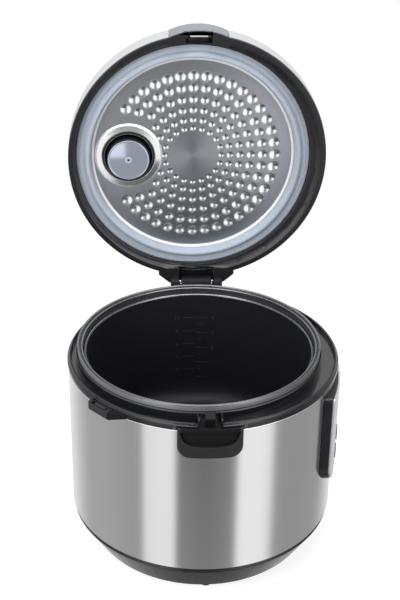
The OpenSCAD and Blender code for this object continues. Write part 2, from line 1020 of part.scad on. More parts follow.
module tact_switches() color(dark_grey) {
    base_x = control_board_x + board_t;
    reach = base_x + switch_size[0] - face_x;
    for (z = button_rows)
        for (angle = button_angles)
            translate([base_x, reach * tan(angle) - switch_size[1] / 2, z - switch_size[2] / 2])
                cube(switch_size);
}

module panel_button(row, column) color(dark_grey) {
    angle = button_angles[column];
    back_r = face_r + button_proud - button_cap_h;
    end_r = (control_board_x + board_t + switch_size[0] + switch_gap - face_x) / cos(angle);
    on_face(angle, button_rows[row]) {
        disc(button_r, back_r, face_r + button_proud);
        disc(button_flange_r, back_r - 1, back_r - 1 + button_flange_h);
        disc(button_stem_r, end_r, back_r);
    }
}

module hinge_bracket() color(black) {
    difference() {
        translate([-bracket_w / 2, 0, 0])
            rotate([90, 0, 90])
                linear_extrude(bracket_w)
                    union() {
                        translate([hinge_y, hinge_z])
                            circle(r = knuckle_r);
                        polygon([
                            [ring_r - 6, bracket_low_z], [bracket_foot_y, bracket_low_z],
                            [hinge_y + 5, hinge_z - knuckle_r + 2], [hinge_y + knuckle_r, hinge_z],
                            [hinge_y, hinge_z + knuckle_r], [bracket_foot_y, bracket_top_z],
                            [ring_r - 6, bracket_top_z]
                        ]);
                    }
        disc(ring_r + fit, 0, through);
        rod(hinge_y, hinge_z, hinge_pin_r + pin_fit, bracket_w + 2);
        rod(hinge_y, hinge_z, hinge_spring_r + 2 * hinge_wire_r, spring_slot_w);
        block(
            [-spring_slot_w / 2, hinge_y, hinge_z - hinge_spring_r - 2 * hinge_wire_r],
            [spring_slot_w / 2, through, hinge_z + hinge_spring_r + 2 * hinge_wire_r]
        );
        hinge_screw_bores(hinge_screw_r + fit);
        for (side = [-1, 1])
            translate([side * hinge_screw_x, hinge_screw_head_y, hinge_screw_z])
                rotate([-90, 0, 0])
                    cylinder(r = hinge_screw_head_r + fit, h = 20);
    }
}

module hinge_pin() color(steel) {
    rod(hinge_y, hinge_z, hinge_pin_r, hinge_pin_len);
}

module hinge_spring() color(steel) {
    translate([-hinge_curls * hinge_pitch / 2, hinge_y, hinge_z])
        rotate([0, 90, 0])
            coil("hinge_spring", hinge_spring_r, hinge_wire_r, hinge_curls, hinge_pitch);
}

module hinge_screws() color(steel) {
    for (side = [-1, 1])
        translate([side * hinge_screw_x, 0, hinge_screw_z])
            rotate([-90, 0, 0]) {
                disc(hinge_screw_r, hinge_screw_in_y, hinge_screw_head_y + 0.5);
                disc(hinge_screw_head_r, hinge_screw_head_y, hinge_screw_head_y + hinge_screw_head_h);
            }
}

// The nose's round front, narrowed by inset, between two heights
module nose_prism(inset, low, top) {
    intersection() {
        translate([0, nose_y, low])
            cylinder(r = nose_r - inset, h = top - low);
        block([-nose_w / 2, -ring_r - 20, low], [nose_w / 2, -ring_r / 2, top]);
    }
}

// The two hinge knuckles of the lid, with the blocks that carry them
module lid_knuckles() {
    inner = bracket_notch_w / 2;
    outer = block_end_w / 2;
    difference() {
        for (side = [0, 1])
            mirror([side, 0, 0]) {
                translate([0, 0, lid_low_z])
                    linear_extrude(block_top_z - lid_low_z)
                        polygon([
                            [inner, bracket_notch_y], [block_w / 2 - 4, bracket_notch_y],
                            [block_w / 2, block_side_y - 4], [block_w / 2, block_side_y],
                            [outer, hinge_y], [outer, hinge_y + 2], [inner, hinge_y + 2]
                        ]);
                block([-1, bracket_notch_y, bracket_notch_z], [inner + 1, hinge_y + 2, block_top_z]);
            }
        disc(lid_r + clear, rim_top_z, through);
    }
    for (side = [-1, 1])
        translate([side * (inner + outer) / 2, 0, 0])
            rod(hinge_y, hinge_z, knuckle_r, outer - inner);
}

module lid_frame() color(black) opened() {
    difference() {
        union() {
            rotate_extrude()
                polygon([
                    [frame_disc_in_r, frame_disc_z], [frame_disc_in_r, frame_disc_z + frame_disc_t],
                    [frame_wall_r, frame_disc_z + frame_disc_t], [frame_wall_r, rim_top_z],
                    [rim_r, rim_top_z], [rim_r, lid_low_z + 0.8], [rim_r - 0.8, lid_low_z],
                    [rim_face_r, lid_low_z], [frame_slope_r, frame_slope_z],
                    [ring_inner_r, frame_slope_z], [ring_inner_r, frame_disc_z]
                ]);
            nose_prism(bulge_inset, lid_low_z, rim_top_z);
            block_pair(
                [ear_in, ear_front_y, frame_disc_z], [ear_in + ear_t, ear_back_y, ear_top_z]
            );
            block(
                [-seat_w / 2, seat_front_y, frame_disc_z], [seat_w / 2, seat_front_y + seat_t, seat_top_z]
            );
            lid_knuckles();
        }
        at_pot()
            disc(seal_recess_r, 0, frame_disc_z);
        at_pot()
            disc(wall_recess_r, 0, wall_recess_z);
        at_pot()
            disc(plate_r + 3 * clear, 0, lid_flange_z);
        block(
            [-bracket_notch_w / 2, bracket_notch_y, 0], [bracket_notch_w / 2, through, bracket_notch_z]
        );
        block(
            [-pocket_w / 2, pocket_front_y, 0], [pocket_w / 2, pocket_back_y, ear_top_z + 1]
        );
        block(
            [-latch_slot_w / 2, pocket_front_y, latch_spring_z - latch_slot_w / 2],
            [latch_slot_w / 2, seat_front_y, through]
        );
        block(
            [-notch_post_x, notch_y - nose_gap, 0],
            [notch_post_x, -inner_wall_r + 1 + nose_gap, notch_wall_z + nose_gap]
        );
        rod(pivot_y, pivot_z, latch_pin_r + pin_fit, pocket_w + 20);
        rod(hinge_y, hinge_z, hinge_pin_r + pin_run, block_w);
        at_valve()
            disc(trim_in_r, 0, through);
        around(lid_screw_count, lid_screw_ring_r, 45)
            disc(lid_screw_r + fit, 0, through);
    }
}

module lid_band() color(silver) opened() {
    difference() {
        rotate_extrude()
            polygon(concat(
                [[band_in_r, band_low_z], [lid_r, band_low_z]],
                arc([lid_r - band_round, band_top_z - band_round], band_round, 0, 90),
                [[band_lip_r, band_top_z], [band_lip_r, band_top_z - band_lip_t]],
                [[band_in_r - 1, band_top_z - band_lip_t], [band_in_r, band_top_z - band_lip_t - 1]]
            ));
        block(
            [-nose_w / 2 - nose_gap, -lid_r - 1, 0], [nose_w / 2 + nose_gap, -ring_r / 2, through]
        );
        block(
            [-bracket_notch_w / 2, bracket_notch_y, 0], [bracket_notch_w / 2, through, bracket_notch_z]
        );
    }
}

module lid_top() color(black) opened() {
    dome_z = band_top_z + dome_rise - dome_arc_r;
    under = [
        for (p = arc([0, dome_z], dome_arc_r - dome_t, 90, 90 - dome_half_angle))
            if (p[0] < dome_r - dome_t) p
    ];
    difference() {
        union() {
            rotate_extrude()
                polygon(concat(
                    [[dome_r - dome_t, band_top_z - dome_t], [dome_r - dome_t, band_top_z - dome_edge_h]],
                    [[dome_r, band_top_z - dome_edge_h]],
                    arc([0, dome_z], dome_arc_r, 90 - dome_half_angle, 90),
                    under
                ));
            around(lid_screw_count, lid_screw_ring_r, 45)
                disc(boss_r, frame_disc_z + frame_disc_t, lid_boss_top_z);
        }
        at_valve()
            disc(well_collar_r + clear, 0, through);
        around(lid_screw_count, lid_screw_ring_r, 45)
            disc(lid_screw_r + 0.05, 0, lid_flange_z + lid_screw_len + 0.5);
    }
}

module lid_screws() color(steel) opened() {
    around(lid_screw_count, lid_screw_ring_r, 45) {
        disc(lid_screw_head_r, lid_flange_z - lid_screw_head_h, lid_flange_z);
        disc(lid_screw_r, lid_flange_z, lid_flange_z + lid_screw_len);
    }
}

module inner_plate() color(aluminium) opened() {
    difference() {
        at_pot()
            disc(plate_r, plate_low_z, plate_low_z + plate_t);
        at_valve()
            disc(trim_in_r, 0, through);
    }
}

module lid_seal() color(silicone) opened() {
    groove_r = plate_r + 2 * clear;
    at_pot()
        rotate_extrude()
            polygon([
                [seal_r, frame_disc_z], [seal_r, seal_face_z + 0.6], [seal_r - 0.6, seal_face_z],
                [seal_lip_r, seal_face_z], [seal_lip_r - 1.2, seal_lip_z + 2.1],
                [seal_lip_r - 3.2, seal_lip_z + 0.2], [seal_lip_r - 5.2, seal_lip_z],
                [seal_lip_r - 6.8, seal_lip_z + 1.7], [seal_in_r + 0.3, plate_low_z - 2.6],
                [seal_in_r, plate_low_z - 0.8], [seal_in_r + 0.4, plate_low_z - 0.1],
                [groove_r, plate_low_z - 0.1], [groove_r, frame_disc_z]
            ]);
}

module valve_trim() color(steel) opened() {
    at_valve()
        rotate_extrude()
            polygon([
                [trim_in_r, plate_low_z], [trim_in_r, plate_low_z - trim_h + 0.6],
                [trim_in_r + 1, plate_low_z - trim_h], [trim_r - 1.5, plate_low_z - trim_h / 4],
                [trim_r, plate_low_z]
            ]);
}

module valve_well() color(black) opened() {
    plate_top_z = plate_low_z + plate_t;
    at_valve() {
        tube(well_r + well_wall, well_r, plate_low_z - trim_h + 0.6, well_collar_z);
        tube(well_collar_r, well_r, well_collar_z, well_top_z);
        tube(well_flange_r, well_r + well_wall - 0.5, plate_top_z, plate_top_z + 1);
    }
}

module valve_cup() color(black) opened() {
    at_valve()
        difference() {
            disc(cup_r, cup_low_z, cup_top_z);
            disc(cup_r - cup_wall, cup_low_z + cup_wall, cup_top_z + 1);
            disc(cup_hole_r, 0, through);
        }
}

module valve_disc() color(silicone) opened() {
    at_valve()
        tube(valve_disc_r, cup_hole_r, cup_low_z - valve_disc_t, cup_low_z);
}

module steam_cap() color(black) opened() {
    at_valve()
        difference() {
            union() {
                disc(cap_plug_r, cup_top_z, cap_flange_z + 0.5);
                disc(cap_flange_r, cap_flange_z, cap_top_z);
            }
            disc(cap_hollow_r, 0, cap_flange_z);
            for (i = [0 : cap_slot_count - 1])
                rotate([0, 0, 360 * i / cap_slot_count])
                    block(
                        [cap_hollow_r - 3 - cap_slot_len, -cap_slot_w / 2, 0],
                        [cap_hollow_r - 3, cap_slot_w / 2, through]
                    );
        }
}

module cap_gasket() color(silicone) opened() {
    at_valve()
        tube(gasket_r, gasket_in_r, cap_flange_z - gasket_t, cap_flange_z);
}

module latch_button() color(silver) opened() {
    difference() {
        union() {
            difference() {
                nose_prism(0, nose_low_z, nose_top_z);
                nose_prism(nose_t, nose_low_z - 1, nose_top_z - nose_t);
                block([-nose_w, nose_back_y, 0], [nose_w, 0, through]);
            }
            intersection() {
                nose_prism(nose_t / 2, arm_low_z, arm_top_z);
                block_pair([arm_in, -ring_r - 20, arm_low_z], [arm_in + arm_t, arm_back_y, arm_top_z]);
            }
        }
        rod(pivot_y, pivot_z, latch_pin_r + pin_run, pocket_w);
    }
}

module latch_pin() color(steel) opened() {
    rod(pivot_y, pivot_z, latch_pin_r, 2 * (ear_in + ear_t));
}

module latch_bar() color(steel) opened() {
    rod(bar_y, bar_z, bar_r, bar_w);
    block_pair(
        [bar_w / 2 - bar_leg_t, bar_y - bar_leg_t / 2, bar_z],
        [bar_w / 2, bar_y + bar_leg_t / 2, bar_plate_z + bar_plate_t]
    );
    block(
        [-arm_in + fit, bar_y - bar_leg_t / 2, bar_plate_z],
        [arm_in - fit, bar_plate_back_y, bar_plate_z + bar_plate_t]
    );
}

module latch_spring() color(steel) opened() {
    translate([0, seat_front_y - latch_wire_r, latch_spring_z])
        rotate([90, 0, 0])
            coil("latch_spring", latch_spring_r, latch_wire_r, latch_curls, latch_pitch);
}

rubber_feet();
bottom_cover();
bottom_screws();
base_tub();
steel_shell();
top_ring();
front_scoop();
lid_catch();
spoon_bracket();
collar_ring();
inner_liner();
heater_plate();
heating_element();
sensor_guide();
sensor_spring();
sensor_cap();
thermal_fuse();
power_board();
board_parts();
power_inlet();
inlet_pins();
control_housing();
control_fascia();
display_window();
display_module();
control_board();
tact_switches();
panel_button(0, 0);  // start_button
panel_button(0, 1);  // cancel_button
panel_button(0, 2);  // menu_button
panel_button(1, 0);  // timer_button
panel_button(1, 1);  // plus_button
panel_button(1, 2);  // minus_button
hinge_bracket();
hinge_pin();
hinge_spring();
hinge_screws();
inner_pot();
lid_frame();
lid_band();
lid_top();
inner_plate();
lid_seal();
valve_trim();
valve_well();
lid_screws();
latch_pin();
latch_spring();
latch_button();
latch_bar();
valve_cup();
valve_disc();
steam_cap();
cap_gasket();
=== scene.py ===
# %% [markdown]
# # A multicooker with its lid open
#
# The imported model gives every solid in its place, in metres. This lesson dresses it: the camera first, then
# the studio, the finishes, and one cell for each piece that needs more than a finish.

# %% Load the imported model
import json
import math

import bmesh
import bpy
from mathutils import Matrix, Vector


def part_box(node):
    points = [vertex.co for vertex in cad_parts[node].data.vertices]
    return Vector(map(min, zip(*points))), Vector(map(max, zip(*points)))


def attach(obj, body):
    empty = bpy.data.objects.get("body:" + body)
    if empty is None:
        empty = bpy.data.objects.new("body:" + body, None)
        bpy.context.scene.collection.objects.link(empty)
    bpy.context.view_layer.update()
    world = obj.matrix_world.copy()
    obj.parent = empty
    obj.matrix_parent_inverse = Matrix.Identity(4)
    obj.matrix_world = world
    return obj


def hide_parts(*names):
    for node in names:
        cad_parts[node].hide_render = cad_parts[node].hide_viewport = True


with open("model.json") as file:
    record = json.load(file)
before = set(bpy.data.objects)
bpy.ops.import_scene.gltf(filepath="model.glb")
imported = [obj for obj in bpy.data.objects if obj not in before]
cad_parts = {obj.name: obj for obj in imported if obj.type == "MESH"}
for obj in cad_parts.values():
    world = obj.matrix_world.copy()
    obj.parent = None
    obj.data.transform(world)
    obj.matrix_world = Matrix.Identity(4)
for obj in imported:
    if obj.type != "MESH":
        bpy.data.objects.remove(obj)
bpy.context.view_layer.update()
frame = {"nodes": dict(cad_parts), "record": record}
nodes = frame["nodes"]
MM, MICRON = 0.001, 0.000001

# %% [markdown]
# ## Camera
#
# The photo was taken from a little left of the middle and from well above the rim, with a long lens, so the
# upright lines hardly lean. The camera is placed by the angles and the distance that line up the ring, the
# pot and the lid with the picture. It is rolled by less than a degree, as the picture is.

# %% Camera
AZIMUTH, ELEVATION, ROLL = (math.radians(a) for a in (-3.23, 28.06, 0.82))
DISTANCE = 1.29618
AIM = Vector((-0.00383, 0, 0.27406))
LENS = 76.67
away = Vector((
    math.sin(AZIMUTH) * math.cos(ELEVATION), -math.cos(AZIMUTH) * math.cos(ELEVATION), math.sin(ELEVATION)
))
right = Vector((math.cos(AZIMUTH), math.sin(AZIMUTH), 0))
up = away.cross(right)
rolled_right = math.cos(ROLL) * right + math.sin(ROLL) * up
rolled_up = math.cos(ROLL) * up - math.sin(ROLL) * right
camera = bpy.data.objects.new("camera", bpy.data.cameras.new("camera"))
camera.data.lens = LENS
camera.data.sensor_width = 36
camera.data.clip_end = 50
camera_turn = Matrix((rolled_right, rolled_up, away)).transposed().to_4x4()
camera.matrix_world = Matrix.Translation(AIM + away * DISTANCE) @ camera_turn
bpy.context.scene.collection.objects.link(camera)
bpy.context.scene.camera = camera
bpy.context.scene.view_settings.view_transform = "Standard"
print("camera at, mm:", [round(v / MM) for v in camera.location])

# %% [markdown]
# ## Small tools for node trees
#
# Materials and Geometry Nodes are both trees of nodes. The first helper adds a node, sets its options and
# fills its inputs, from a value or from another node's output. The others add the nodes that come back most
# often, so that the trees below read like recipes.


# %% Node helpers
def add(tree, kind, inputs=None, **options):
    made = tree.nodes.new(kind)
    for key, value in options.items():
        setattr(made, key, value)
    for key, value in (inputs or {}).items():
        if isinstance(value, bpy.types.NodeSocket):
            tree.links.new(value, made.inputs[key])
        else:
            made.inputs[key].default_value = value
    return made


def math_node(tree, operation, a, b=0.0, c=0.0):
    return add(tree, "ShaderNodeMath", {0: a, 1: b, 2: c}, operation=operation).outputs[0]


def between(tree, value, low, high, low_in=0.3, high_in=0.7):
    return add(tree, "ShaderNodeMapRange", {
        "Value": value, "From Min": low_in, "From Max": high_in, "To Min": low, "To Max": high
    }).outputs[0]


def vector_math(tree, operation, a, b=(0, 0, 0)):
    made = add(tree, "ShaderNodeVectorMath", {0: a, 1: b}, operation=operation)
    return made.outputs["Value" if operation in ("LENGTH", "DISTANCE") else "Vector"]


def vector(tree, x=0.0, y=0.0, z=0.0):
    return add(tree, "ShaderNodeCombineXYZ", {0: x, 1: y, 2: z}).outputs[0]


def parts_of(tree, value):
    return add(tree, "ShaderNodeSeparateXYZ", {0: value}).outputs


def new_material(name):
    made = bpy.data.materials.new(name)
    made.use_nodes = True
    made.node_tree.nodes.clear()
    return made


# %% [markdown]
# ## Studio
#
# The cooker was shot on white between two tall softboxes, with darkness in front where the camera stands. A
# polished cylinder shows such a room as upright bands. A ring of cards could stand round the cooker, but
# cards near by give each point of the wall another picture. So the room is painted on the world, by
# direction: bright where the softboxes were, dark between them, grey at the sides and overhead, white
# behind. Only reflections see it. The camera sees plain white, and the floor is left out of reflections so
# that the bands run down to the wall's foot. Straight below it is darker, as the floor is under the cooker.

# %% Floor
floor_paint = new_material("studio_floor")
tree = floor_paint.node_tree
seen = add(tree, "ShaderNodeLightPath").outputs["Is Camera Ray"]
floor_matte = add(tree, "ShaderNodeBsdfDiffuse", {"Color": (0.3, 0.3, 0.3, 1)})
floor_glow = add(tree, "ShaderNodeEmission", {"Strength": math_node(tree, "MULTIPLY", seen, 0.8)})
floor_sum = add(tree, "ShaderNodeAddShader", {0: floor_matte.outputs[0], 1: floor_glow.outputs[0]})
add(tree, "ShaderNodeOutputMaterial", {"Surface": floor_sum.outputs[0]})
FLOOR = 8.0
SQUARE = [(-1, -1), (1, -1), (1, 1), (-1, 1)]
floor_mesh = bpy.data.meshes.new("studio_floor")
floor_mesh.from_pydata([(x * FLOOR, y * FLOOR, 0) for x, y in SQUARE], [], [(0, 1, 2, 3)])
floor_mesh.materials.append(floor_paint)
floor = bpy.data.objects.new("studio_floor", floor_mesh)
floor.visible_glossy = False
bpy.context.scene.collection.objects.link(floor)
print("floor made")

# %% World, bands round the cooker
ROOM = [
    (-180, 1.0), (-150, 1.0), (-119, 0.57), (-90, 0.57), (-68, 0.50), (-55.5, 0.50), (-53, 1.22), (-28, 1.25),
    (-25.5, 0.90), (-22.5, 0.42), (-18, 0.36), (-4, 0.30), (10, 0.31), (20, 0.37), (26, 0.50), (30, 1.30),
    (36, 1.34), (50, 1.34), (58, 1.22), (60.5, 0.90), (63, 0.50), (70, 0.45), (95, 0.45), (120, 0.48),
    (150, 1.0), (180, 1.0)
]
ROOM_MAX = max(value for _, value in ROOM)
world = bpy.data.worlds.new("studio")
bpy.context.scene.world = world
world.use_nodes = True
tree = world.node_tree
tree.nodes.clear()
way = parts_of(tree, add(tree, "ShaderNodeTexCoord").outputs["Generated"])
bearing = math_node(tree, "ARCTAN2", way["X"], math_node(tree, "MULTIPLY", way["Y"], -1))
strips = add(tree, "ShaderNodeValToRGB", {0: between(tree, bearing, 0, 1, -math.pi, math.pi)})
for index, (angle, value) in enumerate(ROOM):
    at = (angle + 180) / 360
    stop = strips.color_ramp.elements[index] if index < 2 else strips.color_ramp.elements.new(at)
    stop.position = at
    stop.color = (*([value / ROOM_MAX] * 3), 1)
bands = math_node(tree, "MULTIPLY", strips.outputs["Color"], ROOM_MAX)
print("world painted with", len(ROOM), "stops")

# %% [markdown]
# The bands change with height. The dark in front grows lighter further down, the softboxes are brighter
# above, and what lies overhead or straight below is plain grey. Other light than reflections comes from all
# sides at an even level.

# %% World, changes with height
FRONT_EDGE = (27, 18)
FRONT_HEIGHTS, FRONT_CHANGE = (-46, -28), (0.5, -0.65)
LAMP_HEIGHTS, LAMP_DEPTHS, LAMPS_ABOVE = (-0.12, 0.2), (0.2, -0.2), 1.1
CEILING_HEIGHTS, CEILING = (38, 60), 0.5
FLOOR_HEIGHTS, UNDERNEATH = (-52, -72), 0.3
SIDE_LIGHT = 0.6


def sines(degrees):
    return [math.sin(math.radians(angle)) for angle in degrees]


front_from, front_to = (math.radians(angle) for angle in FRONT_EDGE)
ahead = between(tree, math_node(tree, "ABSOLUTE", bearing), 0, 1, front_from, front_to)
slope = between(tree, way["Z"], *FRONT_CHANGE, *sines(FRONT_HEIGHTS))
bands = math_node(tree, "MULTIPLY", bands, math_node(tree, "MULTIPLY_ADD", ahead, slope, 1.0))
above = between(tree, way["Z"], 0, 1, *LAMP_HEIGHTS)
in_front = between(tree, way["Y"], 0, 1, *LAMP_DEPTHS)
lamps = math_node(tree, "MULTIPLY", above, in_front)
bands = math_node(tree, "MULTIPLY", bands, math_node(tree, "MULTIPLY_ADD", lamps, LAMPS_ABOVE, 1.0))
overhead = between(tree, way["Z"], 0, 1, *sines(CEILING_HEIGHTS))
underneath = between(tree, way["Z"], 0, 1, *sines(FLOOR_HEIGHTS))
room = add(tree, "ShaderNodeMix", {"Factor": overhead, "A": bands, "B": CEILING}).outputs[0]
room = add(tree, "ShaderNodeMix", {"Factor": underneath, "A": room, "B": UNDERNEATH}).outputs[0]
ray = add(tree, "ShaderNodeLightPath").outputs
plain = math_node(tree, "MAXIMUM", ray["Is Camera Ray"], ray["Is Transmission Ray"])
plain = between(tree, plain, SIDE_LIGHT, 1.0, 0, 1)
level = add(tree, "ShaderNodeMix", {"Factor": ray["Is Glossy Ray"], "A": plain, "B": room}).outputs[0]
backdrop = add(tree, "ShaderNodeBackground", {"Color": (1, 1, 1, 1), "Strength": level})
add(tree, "ShaderNodeOutputWorld", {"Surface": backdrop.outputs[0]})
print("world has", len(tree.nodes), "nodes")

# %% [markdown]
# The painted world is only seen in reflections. Matte faces need lamps as well: a softbox on each side and
# one overhead. They are area lamps, because a small lamp would draw hard shadows, and the photo has none.


# %% Softboxes
def softbox(name, at, aim, size, watts, mirrored=False):
    lamp = bpy.data.objects.new(name, bpy.data.lights.new(name, "AREA"))
    lamp.data.shape = "RECTANGLE"
    lamp.data.size, lamp.data.size_y = size
    lamp.data.energy = watts
    look = (Vector(aim) - Vector(at)).to_track_quat("-Z", "Y")
    lamp.matrix_world = Matrix.Translation(at) @ look.to_matrix().to_4x4()
    lamp.visible_glossy = mirrored
    lamp.visible_camera = False
    bpy.context.scene.collection.objects.link(lamp)


softbox("softbox_left", (-0.55, -0.6, 0.65), (0, 0.1, 0.3), (0.3, 0.7), 6)
softbox("softbox_right", (1.0, -0.9, 0.9), (0, 0, 0.25), (0.5, 1.2), 6)
softbox("softbox_top", (0, -0.1, 1.6), (0, 0, 0.2), (1.2, 1.2), 14, True)
print("softboxes made")

# %% [markdown]
# Two white cards lie on the floor in front, out of the camera's sight. The lid stands upright, so what lies
# there shows in it: the small card as a bright patch on the valve's pad, the large one as a light side of
# the plate.


# %% Cards
CARD_LIFT = 2 * MM


def white_card(name, x_from, x_to, y_from, y_to, strength):
    paint = new_material(name)
    glow = add(paint.node_tree, "ShaderNodeEmission", {"Strength": strength})
    add(paint.node_tree, "ShaderNodeOutputMaterial", {"Surface": glow.outputs[0]})
    mesh = bpy.data.meshes.new(name)
    corners = [(x_from, y_from), (x_to, y_from), (x_to, y_to), (x_from, y_to)]
    mesh.from_pydata([(x, y, CARD_LIFT) for x, y in corners], [], [(0, 1, 2, 3)])
    mesh.materials.append(paint)
    card = bpy.data.objects.new(name, mesh)
    card.visible_camera = card.visible_diffuse = card.visible_shadow = False
    bpy.context.scene.collection.objects.link(card)


white_card("card_small", -0.135, -0.086, -0.92, -0.765, 1.7)
white_card("card_large", 0.10, 0.65, -1.6, -0.72, 0.8)
print("cards laid")

# %% [markdown]
# ## Finishes
#
# Each finish is a small tree that reads Object coordinates, which here are the CAD's metres, so a grain has
# its real size on every piece. Constants sit on the shader itself; only what varies over the surface is
# linked.


# %% Parts that the finishes share
def surface(name, **constants):
    made = new_material(name)
    shader = add(made.node_tree, "ShaderNodeBsdfPrincipled")
    for key, value in constants.items():
        shader.inputs[key.replace("_", " ")].default_value = value
    add(made.node_tree, "ShaderNodeOutputMaterial", {"Surface": shader.outputs[0]})
    return made, made.node_tree, shader


def stretched(tree, scale):
    where = add(tree, "ShaderNodeTexCoord").outputs["Object"]
    return add(tree, "ShaderNodeMapping", {"Vector": where, "Scale": scale}).outputs[0]


def noise(tree, where, scale, detail=3.0, roughness=0.55):
    return add(tree, "ShaderNodeTexNoise", {
        "Vector": where, "Scale": scale, "Detail": detail, "Roughness": roughness
    }).outputs["Fac"]


def shade(tree, value, dark, light):
    mixed = add(tree, "ShaderNodeMix", data_type="RGBA")
    tree.links.new(value, mixed.inputs["Factor"])
    mixed.inputs[6].default_value = (*dark, 1)
    mixed.inputs[7].default_value = (*light, 1)
    return mixed.outputs[2]


def relief(tree, shader, height, microns):
    lift = add(tree, "ShaderNodeBump", {"Height": height, "Distance": microns * MICRON})
    tree.links.new(lift.outputs[0], shader.inputs["Normal"])


# %% [markdown]
# Plastics first. The black mouldings are satin with a barely visible flow mark; the scoop and the buttons
# have a spark grain; rubber is duller still. They differ in colour, roughness and the size of the grain.

# %% Moulded plastic and metallic paint
FLOW_MARKS, FLAKES, PAINT_CLOUDS = 18, 5200, 14


def moulded(name, dark, light, rough_low, rough_high, grain, microns, specular=0.5):
    made, tree, shader = surface(name, Specular_IOR_Level=specular)
    everywhere = stretched(tree, (1, 1, 1))
    cloud = noise(tree, everywhere, FLOW_MARKS)
    fine = noise(tree, everywhere, grain, 2.0)
    tree.links.new(shade(tree, cloud, dark, light), shader.inputs["Base Color"])
    tree.links.new(between(tree, cloud, rough_low, rough_high), shader.inputs["Roughness"])
    relief(tree, shader, fine, microns)
    return made


def metal_paint(name, dark, light, metallic, rough_low, rough_high, microns=6):
    made, tree, shader = surface(name, Metallic=metallic, Specular_IOR_Level=0.5)
    everywhere = stretched(tree, (1, 1, 1))
    flake = noise(tree, everywhere, FLAKES, 1.0)
    cloud = noise(tree, everywhere, PAINT_CLOUDS)
    tree.links.new(shade(tree, flake, dark, light), shader.inputs["Base Color"])
    tree.links.new(between(tree, cloud, rough_low, rough_high), shader.inputs["Roughness"])
    relief(tree, shader, flake, microns)
    return made


# %% Plastic and rubber
black_satin = moulded("black_satin", (0.007, 0.007, 0.0085), (0.011, 0.011, 0.013), 0.24, 0.33, 2600, 12)
black_ring = moulded("black_ring", (0.008, 0.0085, 0.01), (0.011, 0.0115, 0.0135), 0.11, 0.17, 900, 4, 0.75)
# The skirt's black is darker and less specular than the ring's: painted shade on the ring's skirt.
glossy_skirt_painted_shade = moulded("glossy_skirt_painted_shade", (0.004, 0.004, 0.005), (0.006, 0.006, 0.007), 0.12, 0.18, 900, 4, 0.36)
black_lid = moulded("black_lid", (0.011, 0.011, 0.0125), (0.016, 0.016, 0.018), 0.26, 0.35, 2600, 12, 0.6)
dark_grain = moulded("dark_grain", (0.011, 0.011, 0.012), (0.017, 0.017, 0.019), 0.4, 0.52, 1700, 40, 0.35)
# The next grain is darker than dark_grain: painted shade in the hollows of the scoop and the spoon holder.
hollow_painted_shade = moulded("hollow_painted_shade", (0.004, 0.004, 0.0045), (0.007, 0.007, 0.0075), 0.5, 0.6, 1700, 40, 0.15)
# The next black is matte and darker than the satin one: the hinge parts' own black, and also painted shade on
# faces at the hinge, in the ring's notch, in the latch's socket and at the bar's root.
black_and_painted_shade = moulded("black_and_painted_shade", (0.005, 0.005, 0.006), (0.008, 0.008, 0.009), 0.45, 0.55, 1700, 20, 0.2)
mark_grey = moulded("mark_grey", (0.023, 0.023, 0.025), (0.031, 0.031, 0.033), 0.4, 0.5, 1700, 10, 0.4)
sign_white = moulded("sign_white", (0.5, 0.51, 0.52), (0.58, 0.59, 0.6), 0.35, 0.45, 2600, 8)
unlit_segment = moulded("unlit_segment", (0.016, 0.017, 0.018), (0.02, 0.021, 0.022), 0.2, 0.3, 2600, 4)
foot_rubber = moulded("foot_rubber", (0.012, 0.012, 0.012), (0.022, 0.022, 0.022), 0.62, 0.75, 1200, 50)
silver_plastic = metal_paint("silver_plastic", (0.52, 0.53, 0.55), (0.66, 0.67, 0.69), 0.55, 0.30, 0.38)
nose_silver = metal_paint("nose_silver", (0.23, 0.25, 0.28), (0.29, 0.31, 0.35), 0.45, 0.34, 0.42)
circuit_green = moulded("circuit_green", (0.012, 0.07, 0.03), (0.02, 0.1, 0.045), 0.3, 0.42, 900, 20)
print("plastics made")

# %% [markdown]
# Brushed metal is what sets this object apart. The scratches run round the wall, so a reflection is drawn
# out upright: that is anisotropy, with its tangent along the wall's height. The lid's plate is spun, so its
# scratches are circles and the tangent points away from its centre.


# %% Brushed metal
METAL_CLOUDS, CLOUD_BLUR = 9, 0.012


def brushed(
    name, tone, rough, anisotropy, lines, spread=0.06, microns=4, metallic=1.0, contrast=0.09, direction=None
):
    made, tree, shader = surface(name, Metallic=metallic, Anisotropic=anisotropy)
    streak = noise(tree, lines(tree), 1.0, 4.0, 0.6)
    cloud = noise(tree, stretched(tree, (1, 1, 1)), METAL_CLOUDS)
    dark = tuple(v * (1 - contrast) for v in tone)
    light = tuple(min(v * (1 + contrast), 1) for v in tone)
    tree.links.new(shade(tree, streak, dark, light), shader.inputs["Base Color"])
    blur = math_node(
        tree, "ADD", between(tree, streak, rough - spread, rough + spread),
        between(tree, cloud, -CLOUD_BLUR, CLOUD_BLUR)
    )
    tree.links.new(blur, shader.inputs["Roughness"])
    if direction:
        tree.links.new(direction(tree), shader.inputs["Tangent"])
    relief(tree, shader, streak, microns)
    return made


# %% [markdown]
# The scratches need a place to turn about. The wall's is the body's axis. The plate and the valve's ring
# stand upright with the open lid, so their centres are swung there by the same turn as the lid.

# %% Ways of the scratches
LINES_PER_METRE, WALL_LINE_TURNS, PLATE_LINE_TURNS = 4200.0, 2.5, 2.0


def wall_lines(tree):
    where = parts_of(tree, add(tree, "ShaderNodeTexCoord").outputs["Object"])
    turn_of = math_node(tree, "ARCTAN2", where["Y"], where["X"])
    return vector(
        tree, math_node(tree, "MULTIPLY", turn_of, WALL_LINE_TURNS),
        math_node(tree, "MULTIPLY", where["Z"], LINES_PER_METRE)
    )


def upright(tree):
    return vector(tree, z=1.0)


def quarter(axis, turns=1):
    return Matrix.Rotation(math.radians(90 * turns), 4, axis)


